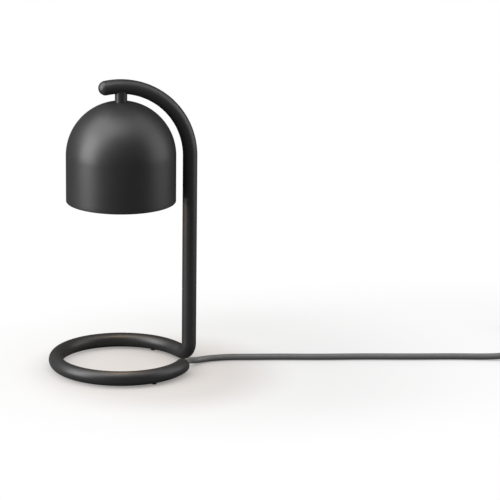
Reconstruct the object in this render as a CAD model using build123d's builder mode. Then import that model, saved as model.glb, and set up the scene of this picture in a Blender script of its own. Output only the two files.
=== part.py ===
from build123d import *
import math
import os

# Candle warmer lamp. One bent tube makes the floor ring, the post and the arm. A dome shade
# hangs from the arm and holds the reflector lamp that warms a jar candle standing in the ring.
# Frame: origin at the ring's centre on the table, +X towards the post, +Z up, millimetres.

# ---------------------------------------------------------------- driving dimensions
# Bent tube: arm, post and floor ring
TUBE_D = 16.0
TUBE_WALL = 1.2
RING_R = 72.0  # centreline radius of the floor ring
RING_END_AZ = -33.0  # azimuth where the ring's tube ends, in front of the post
POST_X = 77.0  # post axis from the ring's centre
ARM_R = 80.5  # centreline radius of the arm's arc
ARM_TOP_Z = 316.5  # centreline height at the arm's crown
ARM_OVERHANG = 17.0  # length of the arm past the shade's axis
ELBOW_R = 14.0  # centreline bend radius of the foot elbow
ELBOW_BORE_R = 4.5
SPIGOT_L = 12.0  # length of each elbow spigot inside its tube
CAP_SPIGOT_L = 5.0
CAP_SPIGOT_PLAY = 0.35
FIT_GAP = 0.05  # radial gap of pieces that are fitted together for good

# Rubber feet
FOOT_H = 1.0  # height of the tube above the table
FOOT_D = 5.2
FOOT_STEM_D = 2.8
FOOT_STEM_L = 3.0
FOOT_AZIMUTHS = (-72.0, 48.0, 168.0)

# Shade and its hanging hardware
SHADE_D = 120.0
SHADE_H = 110.6
SHADE_WALL = 1.0
SHADE_DROP = 16.9  # from the arm's centreline down to the shade's crown
CROWN_FLAT_DROP = 0.4  # depth of the pressed flat at the crown
RIM_BEAD_D = 2.0  # bead rolled inwards at the shade's rim
EDGE_ROUND = 0.3  # small rounding of moulded and turned edges
NECK_D = 13.4
NIPPLE_D = 10.0
NIPPLE_BORE_D = 8.0
NIPPLE_IN_TUBE = 2.0  # length of nipple that stands inside the arm
NIPPLE_BELOW_NUT = 1.5
WASHER_T = 1.2
NUT_FLATS = 14.0
NUT_T = 3.0
BRACKET_T = 1.2
BRACKET_L = 34.0
BRACKET_W = 12.0
BRACKET_H = 15.4
BRACKET_FOOT_L = 7.5
SCREW_D = 3.0
SCREW_L = 7.0
SCREW_HEAD_D = 5.4
SCREW_HEAD_T = 1.8

# Lampholder and twist-lock reflector lamp
HOLDER_D = 32.0
HOLDER_H = 18.0
KEY_PLATE_T = 2.5
CAVITY_H = 5.5
PIN_CIRCLE_R = 5.0
PIN_AZIMUTHS = (90.0, 270.0)  # of the lamp's pins when they are locked
PIN_STEM_D = 3.0
PIN_HEAD_D = 5.0
PIN_HEAD_T = 2.6
PIN_L = 7.2
PIN_ROOT_L = 4.0
PIN_PLAY = 0.35
TWIST = 25.0  # degrees between locked and released
CONTACT_T = 0.8
CONTACT_D = 4.6
CONTACT_STEM_D = 2.0
TERMINAL_D = 4.4
TERMINAL_H = 1.5
BULB_GAP = 0.3
BULB_BASE_D = 24.0
BULB_BASE_H = 14.0
BULB_SOCKET_H = 8.0
NECK_GLASS_D = 18.0
BULB_D = 50.0
BULB_RIM_H = 2.5
BULB_GLASS_T = 1.2
REFLECTOR_H = 27.0
LENS_T = 1.5
CAPSULE_D = 9.0
CAPSULE_L = 20.0
CAPSULE_TIP_R = 3.5

# Wiring inside the tube
CABLE_D = 6.0
WIRE_D = 2.0
WIRE_SPACING = 3.0
JACKET_END_X = 12.0  # where the cable's jacket ends inside the arm
CABLE_END_GAP = 0.5  # between the strain relief and the cable's other end

# Mains cord
CORD_D = 7.0
CORD_ARC_SHARE = 0.45  # of the shorter run that a corner's arc takes up
RELIEF_COLLAR_D = 9.8
RELIEF_COLLAR_T = 1.8
RELIEF_BARREL_D = 8.4
RELIEF_ROOT_D = 9.0
RELIEF_TIP_D = 7.8
RELIEF_L = 7.0
RELIEF_TAIL_L = 3.0
CAP_NOSE_CUT = 1.8  # flat cut from the ring cap's nose, where the cord leaves

# Cord controller: dial and push button
CASE_L = 76.0
CASE_W = 36.0
CASE_BASE_H = 12.0
CASE_COVER_H = 10.0
CASE_WALL = 2.0
CASE_CORNER_R = 9.0
CASE_EDGE_R = 2.5
CASE_SCREW_X = 63.0
CASE_SCREW_Y = 22.0
CASE_SCREW_D = 2.4
CASE_SCREW_L = 15.0
CASE_SCREW_HEAD_D = 4.4
CASE_SCREW_HEAD_T = 1.2
CASE_BOSS_D = 5.2
CASE_CORD_Z = 6.7
CASE_RELIEF_L = 20.0
RUN_GAP = 0.3  # clearance round pieces that move
BOARD_L = 56.0
BOARD_W = 26.0
BOARD_T = 1.6
BOARD_Z = 7.0
DIAL_X = -15.0
DIAL_D = 22.0
DIAL_H = 6.0
DIAL_FLUTES = 24
DIAL_FLUTE_R = 0.5
POINTER_W = 1.2
POINTER_L = 7.0
POINTER_DEPTH = 0.6
DIAL_SHAFT_D = 6.0
SHAFT_PLAY = 0.05
POT_D = 16.0
POT_H = 6.0
BUTTON_X = 17.0
BUTTON_D = 10.0
BUTTON_PROUD = 1.6
BUTTON_TRAVEL = 1.2
BUTTON_FLANGE = 1.4
TACT_SIZE = 6.0
TACT_H = 4.0
TACT_STEM_D = 3.0
TACT_STEM_H = 1.0

# Coil of spare cord, its tie and the plug
COIL_X = 612.0
COIL_Y = -24.0
COIL_BOTTOM_RADII = (31.5, 38.5, 45.5)
COIL_TOP_RADII = (35.0, 42.0)
TIE_T = 0.8
TIE_GAP = 0.3
TIE_SPAN = 18.0  # degrees of the coil that the tie covers
CASE_X = 504.0  # controller's middle
PLUG_X = 520.0  # rear of the plug's body
PLUG_Y = 29.0
PLUG_TURN = 15.0  # degrees that the pins point off -X, so that a socket passes beside the lamp
PLUG_W = 35.3
PLUG_T = 13.7
PLUG_L = 36.0
PLUG_TAIL_W = 17.0
PLUG_TAIL_T = 11.0
PLUG_TAIL_ROOT = 1.0  # length of the tail that is buried in the body
PLUG_RELIEF_L = 22.0
PLUG_PIN_D = 4.0
PLUG_PIN_CORE_D = 2.6
PLUG_PIN_SPACING = 18.6
PLUG_PIN_BARE_L = 9.0
PLUG_SLEEVE_L = 10.0
PLUG_SLEEVE_D = 3.4
PLUG_PIN_ROOT_L = 8.0

# ---------------------------------------------------------------- derived places
tube_r = TUBE_D / 2
bore_r = tube_r - TUBE_WALL
ring_z = FOOT_H + tube_r
arm_x = POST_X - ARM_R
arm_z = ARM_TOP_Z - ARM_R
arm_past_crown = math.degrees(math.asin((arm_x + ARM_OVERHANG) / ARM_R))
lead_az = math.degrees(math.acos(RING_R / POST_X))  # where the straight lead-in meets the ring
lead_dir = Vector(-math.sin(math.radians(lead_az)), math.cos(math.radians(lead_az)), 0)
post_foot = Vector(POST_X, 0, ring_z + ELBOW_R)
lead_start = Vector(POST_X, 0, ring_z) + lead_dir * ELBOW_R
ring_end_deg = 360 + RING_END_AZ

shade_r = SHADE_D / 2
shade_top_z = ARM_TOP_Z - SHADE_DROP
dome_z = shade_top_z + CROWN_FLAT_DROP - shade_r  # centre of the dome's sphere
rim_z = shade_top_z - SHADE_H
seat_z = shade_top_z - SHADE_WALL
nipple_r = NIPPLE_D / 2
neck_hole_r = nipple_r + FIT_GAP
washer_z = seat_z - WASHER_T
upper_nut_z = washer_z - NUT_T
bracket_top_z = upper_nut_z
lower_nut_z = bracket_top_z - BRACKET_T - NUT_T
nipple_low_z = lower_nut_z - NIPPLE_BELOW_NUT
holder_top_z = bracket_top_z - BRACKET_H
holder_low_z = holder_top_z - HOLDER_H
cavity_z = holder_low_z + KEY_PLATE_T
cavity_top_z = cavity_z + CAVITY_H
bracket_hole_x = BRACKET_L / 2 - BRACKET_T - BRACKET_FOOT_L / 2
terminal_z = holder_top_z + TERMINAL_H

bulb_top_z = holder_low_z - BULB_GAP
bulb_base_low_z = bulb_top_z - BULB_BASE_H
bulb_socket_z = bulb_base_low_z + BULB_SOCKET_H
bulb_rim_z = bulb_base_low_z - REFLECTOR_H
pin_slot_r = PIN_STEM_D / 2 + PIN_PLAY
pin_head_slot_r = PIN_HEAD_D / 2 + PIN_PLAY

cord_r = CORD_D / 2
relief_barrel_r = RELIEF_BARREL_D / 2
cap_nose = tube_r - CAP_NOSE_CUT
coil_lift = TIE_T + TIE_GAP
coil_row_z = coil_lift + cord_r
coil_rise = CORD_D * math.sqrt(3) / 2
case_y = COIL_Y - COIL_BOTTOM_RADII[-1]
case_top_z = CASE_BASE_H + CASE_COVER_H
board_top_z = BOARD_Z + BOARD_T
tail_y = COIL_Y + COIL_TOP_RADII[-1]
plug_turn = math.radians(PLUG_TURN)
plug_rear = Vector(PLUG_X, PLUG_Y, PLUG_T / 2)
plug_ahead = Vector(-math.cos(plug_turn), math.sin(plug_turn), 0)
plug_side = Vector(math.sin(plug_turn), math.cos(plug_turn), 0)
plug_tip = plug_rear - plug_ahead * PLUG_RELIEF_L  # where the cord enters the plug's tail


def on_arm(angle):
    """Centreline point of the arm's arc, in degrees past its crown towards the free end."""
    turn = math.radians(angle)
    return Vector(arm_x - ARM_R * math.sin(turn), 0, arm_z + ARM_R * math.cos(turn))


def on_ring(azimuth):
    """Centreline point of the floor ring at an azimuth in degrees."""
    turn = math.radians(azimuth)
    return Vector(RING_R * math.cos(turn), RING_R * math.sin(turn), ring_z)


def elbow_middle():
    """Centreline point halfway round the foot elbow."""
    out = ELBOW_R * (1 - math.cos(math.radians(45)))
    return post_foot + lead_dir * out - Vector(0, 0, ELBOW_R * math.sin(math.radians(45)))


def across(line):
    """Plane square to a line at its start."""
    return Plane(origin=line @ 0, z_dir=line % 0)


pieces = {}

# ---------------------------------------------------------------- bent tube
# Arm and post: one arc over the shade, then straight down to the elbow.
with BuildPart() as arm_tube:
    with BuildLine() as arm_path:
        ThreePointArc(on_arm(arm_past_crown), on_arm((arm_past_crown - 90) / 2), on_arm(-90))
        Line(on_arm(-90), post_foot)
    with BuildSketch(across(arm_path.line)):
        Circle(tube_r)
        Circle(bore_r, mode=Mode.SUBTRACT)
    sweep(path=arm_path.line)
    # Hole in the underside for the nipple
    with BuildSketch(Plane.XY.offset(shade_top_z)):
        Circle(neck_hole_r)
    extrude(amount=ARM_TOP_Z - shade_top_z, mode=Mode.SUBTRACT)
pieces["arm_tube"] = arm_tube

# Cast elbow, with a spigot up into the post and one into the ring's straight lead-in.
with BuildPart() as base_elbow:
    with BuildLine() as elbow_path:
        ThreePointArc(post_foot, elbow_middle(), lead_start)
    with BuildSketch(across(elbow_path.line)):
        Circle(tube_r)
    sweep(path=elbow_path.line)
    with BuildSketch(Plane(origin=post_foot, z_dir=(0, 0, 1))):
        Circle(bore_r - FIT_GAP)
    extrude(amount=SPIGOT_L)
    with BuildSketch(Plane(origin=lead_start, z_dir=lead_dir)):
        Circle(bore_r - FIT_GAP)
    extrude(amount=SPIGOT_L)
    with BuildLine() as elbow_bore_path:
        Line(post_foot + Vector(0, 0, SPIGOT_L), post_foot)
        ThreePointArc(post_foot, elbow_middle(), lead_start)
        Line(lead_start, lead_start + lead_dir * SPIGOT_L)
    with BuildSketch(across(elbow_bore_path.line)):
        Circle(ELBOW_BORE_R)
    sweep(path=elbow_bore_path.line, mode=Mode.SUBTRACT)
pieces["base_elbow"] = base_elbow

# Floor ring: a straight lead-in that runs into the circle, with holes for the feet.
with BuildPart() as base_ring:
    with BuildLine() as ring_path:
        Line(lead_start, on_ring(lead_az))
        ThreePointArc(on_ring(lead_az), on_ring((lead_az + ring_end_deg) / 2), on_ring(ring_end_deg))
    with BuildSketch(across(ring_path.line)):
        Circle(tube_r)
        Circle(bore_r, mode=Mode.SUBTRACT)
    sweep(path=ring_path.line)
    with BuildSketch(Plane.XY):
        for azimuth in FOOT_AZIMUTHS:
            with Locations((on_ring(azimuth).X, on_ring(azimuth).Y)):
                Circle(FOOT_STEM_D / 2 + FIT_GAP)
    extrude(amount=ring_z, mode=Mode.SUBTRACT)
pieces["base_ring"] = base_ring

# Domed cap in the arm's free end.
arm_end = on_arm(arm_past_crown)
arm_end_turn = math.radians(arm_past_crown)
arm_end_dir = Vector(-math.cos(arm_end_turn), 0, -math.sin(arm_end_turn))
cap_spigot_r = bore_r - CAP_SPIGOT_PLAY
dome_mid = tube_r * math.sqrt(0.5)
with BuildPart() as arm_end_cap:
    with BuildSketch(Plane(origin=arm_end, x_dir=arm_end_dir, z_dir=(0, 1, 0))):
        with BuildLine():
            Polyline(
                (tube_r, 0),
                (-CAP_SPIGOT_L, 0),
                (-CAP_SPIGOT_L, cap_spigot_r),
                (0, cap_spigot_r),
                (0, tube_r),
            )
            ThreePointArc((0, tube_r), (dome_mid, dome_mid), (tube_r, 0))
        make_face()
    revolve(axis=Axis(arm_end, arm_end_dir))
pieces["arm_end_cap"] = arm_end_cap

# Domed cap in the ring's end, bored and flattened where the cord leaves.
ring_end = on_ring(ring_end_deg)
ring_end_turn = math.radians(RING_END_AZ)
ring_end_dir = Vector(-math.sin(ring_end_turn), math.cos(ring_end_turn), 0)
ring_end_plane = Plane(origin=ring_end, x_dir=ring_end_dir, z_dir=-ring_end_dir.cross(Vector(0, 0, 1)))
nose_r = math.sqrt(tube_r**2 - cap_nose**2)
nose_mid = math.atan2(nose_r, cap_nose) / 2 + math.pi / 4
with BuildPart() as ring_end_cap:
    with BuildSketch(ring_end_plane):
        with BuildLine():
            Polyline(
                (cap_nose, nose_r),
                (cap_nose, relief_barrel_r + FIT_GAP),
                (-CAP_SPIGOT_L, relief_barrel_r + FIT_GAP),
                (-CAP_SPIGOT_L, cap_spigot_r),
                (0, cap_spigot_r),
                (0, tube_r),
            )
            ThreePointArc(
                (0, tube_r), (tube_r * math.cos(nose_mid), tube_r * math.sin(nose_mid)), (cap_nose, nose_r)
            )
        make_face()
    revolve(axis=Axis(ring_end, ring_end_dir))
pieces["ring_end_cap"] = ring_end_cap

# Strain relief moulded on the cord, with its barrel in the ring's end cap.
relief_back = -CAP_SPIGOT_L - RELIEF_TAIL_L
with BuildPart() as cord_strain_relief:
    with BuildSketch(ring_end_plane):
        with BuildLine():
            Polyline(
                (relief_back, 0),
                (relief_back, relief_barrel_r),
                (cap_nose, relief_barrel_r),
                (cap_nose, RELIEF_COLLAR_D / 2),
                (cap_nose + RELIEF_COLLAR_T, RELIEF_COLLAR_D / 2),
                (cap_nose + RELIEF_COLLAR_T, RELIEF_ROOT_D / 2),
                (cap_nose + RELIEF_L, RELIEF_TIP_D / 2),
                (cap_nose + RELIEF_L, 0),
                close=True,
            )
        make_face()
    revolve(axis=Axis(ring_end, ring_end_dir))
pieces["cord_strain_relief"] = cord_strain_relief

# Push-in rubber feet under the ring, each with a saddle that fits the tube.
with BuildPart() as rubber_feet:
    with BuildSketch(Plane.XY):
        for azimuth in FOOT_AZIMUTHS:
            with Locations((on_ring(azimuth).X, on_ring(azimuth).Y)):
                Circle(FOOT_D / 2)
    extrude(amount=FOOT_H + TUBE_WALL)
    with Locations((0, 0, ring_z)):
        Torus(RING_R, tube_r + FIT_GAP, mode=Mode.SUBTRACT)
    with BuildSketch(Plane.XY.offset(FOOT_H / 2)):
        for azimuth in FOOT_AZIMUTHS:
            with Locations((on_ring(azimuth).X, on_ring(azimuth).Y)):
                Circle(FOOT_STEM_D / 2)
    extrude(amount=FOOT_STEM_L)
pieces["rubber_feet"] = rubber_feet

# ---------------------------------------------------------------- shade and its hanger
# Neck collar between the arm's underside and the shade's crown.
with BuildPart() as neck_collar:
    with BuildSketch(Plane.XY.offset(shade_top_z)):
        Circle(NECK_D / 2)
        Circle(neck_hole_r, mode=Mode.SUBTRACT)
    extrude(amount=ARM_TOP_Z - shade_top_z)
    with Locations(Location((arm_x, 0, arm_z), (90, 0, 0))):
        Torus(ARM_R, tube_r + FIT_GAP, mode=Mode.SUBTRACT)
pieces["neck_collar"] = neck_collar

# Hollow threaded nipple that hangs the shade and the lampholder and passes the wires.
nipple_top_z = ARM_TOP_Z - bore_r + NIPPLE_IN_TUBE
with BuildPart() as threaded_nipple:
    with BuildSketch(Plane.XY.offset(nipple_low_z)):
        Circle(nipple_r)
        Circle(NIPPLE_BORE_D / 2, mode=Mode.SUBTRACT)
    extrude(amount=nipple_top_z - nipple_low_z)
pieces["threaded_nipple"] = threaded_nipple

# Spun dome shade with a pressed flat at its crown and a bead at its rim.
inner_r = shade_r - SHADE_WALL
bead_z = rim_z + RIM_BEAD_D / 2
outer_top_deg = math.degrees(math.asin((shade_top_z - dome_z) / shade_r))
inner_top_deg = math.degrees(math.asin((seat_z - dome_z) / inner_r))
with BuildPart() as shade:
    with BuildSketch(Plane.XZ):
        with BuildLine():
            outer_dome = CenterArc((0, dome_z), shade_r, 0, outer_top_deg)
            inner_dome = CenterArc((0, dome_z), inner_r, 0, inner_top_deg)
            Polyline(outer_dome @ 1, (neck_hole_r, shade_top_z), (neck_hole_r, seat_z), inner_dome @ 1)
            Polyline(outer_dome @ 0, (shade_r, bead_z), (inner_r, bead_z), inner_dome @ 0)
        make_face()
    revolve(axis=Axis.Z)
    with Locations((0, 0, bead_z)):
        Torus(shade_r - RIM_BEAD_D / 2, RIM_BEAD_D / 2)
pieces["shade"] = shade

with BuildPart() as shade_washer:
    with BuildSketch(Plane.XY.offset(washer_z)):
        Circle(NECK_D / 2)
        Circle(neck_hole_r, mode=Mode.SUBTRACT)
    extrude(amount=WASHER_T)
pieces["shade_washer"] = shade_washer

# Two equal nuts: one clamps the shade, one clamps the lampholder's bracket.
with BuildPart() as nipple_nuts:
    for nut_z in (upper_nut_z, lower_nut_z):
        with BuildSketch(Plane.XY.offset(nut_z)):
            RegularPolygon(NUT_FLATS / 2, side_count=6, major_radius=False)
            Circle(neck_hole_r, mode=Mode.SUBTRACT)
        extrude(amount=NUT_T)
pieces["nipple_nuts"] = nipple_nuts

# Bent strip that carries the lampholder, with its feet turned inwards.
half_l = BRACKET_L / 2
with BuildPart() as holder_bracket:
    with BuildSketch(Plane.XZ):
        with BuildLine():
            Polyline(
                (0, bracket_top_z),
                (half_l, bracket_top_z),
                (half_l, holder_top_z),
                (half_l - BRACKET_T - BRACKET_FOOT_L, holder_top_z),
                (half_l - BRACKET_T - BRACKET_FOOT_L, holder_top_z + BRACKET_T),
                (half_l - BRACKET_T, holder_top_z + BRACKET_T),
                (half_l - BRACKET_T, bracket_top_z - BRACKET_T),
                (0, bracket_top_z - BRACKET_T),
                close=True,
            )
        make_face()
        mirror(about=Plane.YZ)
    extrude(amount=BRACKET_W / 2, both=True)
    with BuildSketch(Plane.XY.offset(bracket_top_z - BRACKET_T)):
        Circle(neck_hole_r)
    extrude(amount=BRACKET_T, mode=Mode.SUBTRACT)
    with BuildSketch(Plane.XY.offset(holder_top_z)):
        with Locations((bracket_hole_x, 0), (-bracket_hole_x, 0)):
            Circle(SCREW_D / 2 + FIT_GAP)
    extrude(amount=BRACKET_T, mode=Mode.SUBTRACT)
pieces["holder_bracket"] = holder_bracket

with BuildPart() as bracket_screws:
    with BuildSketch(Plane.XY.offset(holder_top_z + BRACKET_T)):
        with Locations((bracket_hole_x, 0), (-bracket_hole_x, 0)):
            Circle(SCREW_HEAD_D / 2)
    extrude(amount=SCREW_HEAD_T)
    with BuildSketch(Plane.XY.offset(holder_top_z + BRACKET_T)):
        with Locations((bracket_hole_x, 0), (-bracket_hole_x, 0)):
            Circle(SCREW_D / 2)
    extrude(amount=-SCREW_L)
pieces["bracket_screws"] = bracket_screws

# ---------------------------------------------------------------- lampholder
# The lamp's pins enter their keyholes a twist before the place where they lock.
pin_points = [
    (PIN_CIRCLE_R * math.cos(math.radians(a)), PIN_CIRCLE_R * math.sin(math.radians(a)))
    for a in PIN_AZIMUTHS
]
entry_points = [
    (PIN_CIRCLE_R * math.cos(math.radians(a - TWIST)), PIN_CIRCLE_R * math.sin(math.radians(a - TWIST)))
    for a in PIN_AZIMUTHS
]
with BuildPart() as lampholder_body:
    with BuildSketch(Plane.XY.offset(holder_low_z)):
        Circle(HOLDER_D / 2)
    extrude(amount=HOLDER_H)
    # Keyhole slots in the lower plate, and a wider track for the pin heads above it
    with BuildSketch(Plane.XY.offset(holder_low_z)):
        for azimuth in PIN_AZIMUTHS:
            SlotArc(CenterArc((0, 0), PIN_CIRCLE_R, azimuth - TWIST, TWIST), height=2 * pin_slot_r)
        with Locations(*entry_points):
            Circle(pin_head_slot_r)
    extrude(amount=KEY_PLATE_T, mode=Mode.SUBTRACT)
    with BuildSketch(Plane.XY.offset(cavity_z)):
        for azimuth in PIN_AZIMUTHS:
            SlotArc(CenterArc((0, 0), PIN_CIRCLE_R, azimuth - TWIST, TWIST), height=2 * pin_head_slot_r)
    extrude(amount=CAVITY_H, mode=Mode.SUBTRACT)
    with BuildSketch(Plane.XY.offset(cavity_top_z)):
        with Locations(*pin_points):
            Circle(CONTACT_STEM_D / 2 + FIT_GAP)
    extrude(amount=holder_top_z - cavity_top_z, mode=Mode.SUBTRACT)
    with BuildSketch(Plane.XY.offset(holder_top_z)):
        with Locations((bracket_hole_x, 0), (-bracket_hole_x, 0)):
            Circle(SCREW_D / 2 + FIT_GAP)
    extrude(amount=-SCREW_L, mode=Mode.SUBTRACT)
pieces["lampholder_body"] = lampholder_body

# Riveted brass contacts: a disc over each locked pin and a terminal on top of the holder.
with BuildPart() as lampholder_contacts:
    with BuildSketch(Plane.XY.offset(cavity_top_z)):
        with Locations(*pin_points):
            Circle(CONTACT_D / 2)
    extrude(amount=-CONTACT_T)
    with BuildSketch(Plane.XY.offset(cavity_top_z)):
        with Locations(*pin_points):
            Circle(CONTACT_STEM_D / 2)
    extrude(amount=holder_top_z - cavity_top_z)
    with BuildSketch(Plane.XY.offset(holder_top_z)):
        with Locations(*pin_points):
            Circle(TERMINAL_D / 2)
    extrude(amount=TERMINAL_H)
pieces["lampholder_contacts"] = lampholder_contacts

# ---------------------------------------------------------------- reflector lamp
with BuildPart() as bulb_base:
    with BuildSketch(Plane.XY.offset(bulb_base_low_z)):
        Circle(BULB_BASE_D / 2)
    extrude(amount=BULB_BASE_H)
    fillet(bulb_base.edges().group_by(Axis.Z)[-1], radius=EDGE_ROUND)
    with BuildSketch(Plane.XY.offset(bulb_base_low_z)):
        Circle(NECK_GLASS_D / 2 + FIT_GAP)
    extrude(amount=BULB_SOCKET_H, mode=Mode.SUBTRACT)
    with BuildSketch(Plane.XY.offset(bulb_top_z)):
        with Locations(*pin_points):
            Circle(PIN_STEM_D / 2 + FIT_GAP)
    extrude(amount=-PIN_ROOT_L, mode=Mode.SUBTRACT)
pieces["bulb_base"] = bulb_base

with BuildPart() as bulb_pins:
    with BuildSketch(Plane.XY.offset(bulb_top_z - PIN_ROOT_L)):
        with Locations(*pin_points):
            Circle(PIN_STEM_D / 2)
    extrude(amount=PIN_ROOT_L + PIN_L)
    with BuildSketch(Plane.XY.offset(bulb_top_z + PIN_L - PIN_HEAD_T)):
        with Locations(*pin_points):
            Circle(PIN_HEAD_D / 2)
    extrude(amount=PIN_HEAD_T)
pieces["bulb_pins"] = bulb_pins

# Glass reflector: a cylindrical neck, then a paraboloid out to a short straight rim.
neck_glass_r = NECK_GLASS_D / 2
bulb_r = BULB_D / 2
bulb_flare_z = bulb_rim_z + BULB_RIM_H
bowl_rate = (bulb_r**2 - neck_glass_r**2) / (bulb_base_low_z - bulb_flare_z)
bowl_mid_z = (bulb_base_low_z + bulb_flare_z) / 2
bowl_mid_r = math.sqrt(neck_glass_r**2 + bowl_rate * (bulb_base_low_z - bowl_mid_z))
with BuildPart() as bulb_reflector:
    with BuildSketch(Plane.XZ):
        with BuildLine():
            Polyline(
                (neck_glass_r, bulb_base_low_z),
                (neck_glass_r, bulb_socket_z),
                (neck_glass_r - BULB_GLASS_T, bulb_socket_z),
                (neck_glass_r - BULB_GLASS_T, bulb_base_low_z),
            )
            ThreePointArc(
                (neck_glass_r, bulb_base_low_z), (bowl_mid_r, bowl_mid_z), (bulb_r, bulb_flare_z)
            )
            ThreePointArc(
                (neck_glass_r - BULB_GLASS_T, bulb_base_low_z),
                (bowl_mid_r - BULB_GLASS_T, bowl_mid_z - BULB_GLASS_T / 2),
                (bulb_r - BULB_GLASS_T, bulb_flare_z),
            )
            Polyline(
                (bulb_r, bulb_flare_z),
                (bulb_r, bulb_rim_z),
                (bulb_r - BULB_GLASS_T, bulb_rim_z),
                (bulb_r - BULB_GLASS_T, bulb_flare_z),
            )
        make_face()
    revolve(axis=Axis.Z)
pieces["bulb_reflector"] = bulb_reflector

with BuildPart() as bulb_lens:
    with BuildSketch(Plane.XY.offset(bulb_rim_z)):
        Circle(bulb_r - BULB_GLASS_T - FIT_GAP)
    extrude(amount=LENS_T)
pieces["bulb_lens"] = bulb_lens

# Quartz capsule on the lamp's axis, seated on the base's floor.
with BuildPart() as bulb_capsule:
    with BuildSketch(Plane.XY.offset(bulb_socket_z)):
        Circle(CAPSULE_D / 2)
    extrude(amount=-CAPSULE_L)
    fillet(bulb_capsule.edges().group_by(Axis.Z)[0], radius=CAPSULE_TIP_R)
pieces["bulb_capsule"] = bulb_capsule

# ---------------------------------------------------------------- wiring inside the tube
jacket_deg = -math.degrees(math.asin((JACKET_END_X - arm_x) / ARM_R))
cable_start_deg = ring_end_deg + math.degrees((relief_back - CABLE_END_GAP) / RING_R)
with BuildPart() as inner_cable:
    with BuildLine() as cable_path:
        ThreePointArc(on_ring(cable_start_deg), on_ring((lead_az + cable_start_deg) / 2), on_ring(lead_az))
        Line(on_ring(lead_az), lead_start)
        ThreePointArc(lead_start, elbow_middle(), post_foot)
        Line(post_foot, on_arm(-90))
        ThreePointArc(on_arm(-90), on_arm((jacket_deg - 90) / 2), on_arm(jacket_deg))
    with BuildSketch(across(cable_path.line)):
        Circle(CABLE_D / 2)
    sweep(path=cable_path.line)
pieces["inner_cable"] = inner_cable

# Two cores from the jacket's end, down the nipple and out to the holder's terminals.
jacket_end = on_arm(jacket_deg)
core_turn_z = jacket_end.Z + JACKET_END_X * math.tan(math.radians(-jacket_deg))
core_out_z = nipple_low_z - WIRE_D / 2
with BuildPart() as holder_wires:
    for side in (1, -1):
        with BuildLine() as wire_path:
            FilletPolyline(
                (jacket_end.X, side * WIRE_SPACING / 2, jacket_end.Z),
                (0, side * WIRE_SPACING / 2, core_turn_z),
                (0, side * WIRE_SPACING / 2, core_out_z),
                (0, side * PIN_CIRCLE_R, terminal_z + 2 * WIRE_D),
                (0, side * PIN_CIRCLE_R, terminal_z),
                radius=WIRE_D,
            )
        with BuildSketch(across(wire_path.line)):
            Circle(WIRE_D / 2)
        sweep(path=wire_path.line)
pieces["holder_wires"] = holder_wires

# ---------------------------------------------------------------- cord controller
case_base_plane = Plane(origin=(CASE_X, case_y, 0))
inlet_hole_r = relief_barrel_r + FIT_GAP
with BuildPart() as switch_base:
    with BuildSketch(case_base_plane):
        RectangleRounded(CASE_L, CASE_W, CASE_CORNER_R)
    extrude(amount=CASE_BASE_H)
    with BuildSketch(case_base_plane.offset(CASE_WALL)):
        RectangleRounded(CASE_L - 2 * CASE_WALL, CASE_W - 2 * CASE_WALL, CASE_CORNER_R - CASE_WALL)
    extrude(amount=CASE_BASE_H, mode=Mode.SUBTRACT)
    fillet(switch_base.faces().sort_by(Axis.Z)[0].edges(), radius=EDGE_ROUND)
    # Screw bosses, and pillars under the board
    with BuildSketch(case_base_plane.offset(CASE_WALL)):
        with GridLocations(CASE_SCREW_X, CASE_SCREW_Y, 2, 2):
            Circle(CASE_BOSS_D / 2)
    extrude(amount=CASE_BASE_H - CASE_WALL)
    with BuildSketch(case_base_plane.offset(CASE_WALL)):
        with GridLocations(BOARD_L - CASE_BOSS_D, BOARD_W - CASE_BOSS_D, 2, 2):
            Circle(CASE_BOSS_D / 2)
    extrude(amount=BOARD_Z - CASE_WALL)
    with BuildSketch(case_base_plane):
        with GridLocations(CASE_SCREW_X, CASE_SCREW_Y, 2, 2):
            Circle(CASE_SCREW_D / 2 + FIT_GAP)
    extrude(amount=CASE_BASE_H, mode=Mode.SUBTRACT)
    with BuildSketch(case_base_plane):
        with GridLocations(CASE_SCREW_X, CASE_SCREW_Y, 2, 2):
            Circle(CASE_SCREW_HEAD_D / 2 + FIT_GAP)
    extrude(amount=CASE_SCREW_HEAD_T + RUN_GAP, mode=Mode.SUBTRACT)
    # Cord holes through both end walls
    with BuildSketch(Plane(origin=(CASE_X - CASE_L, case_y, CASE_CORD_Z), z_dir=(1, 0, 0))):
        Circle(inlet_hole_r)
    extrude(amount=2 * CASE_L, mode=Mode.SUBTRACT)
pieces["switch_base"] = switch_base

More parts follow.
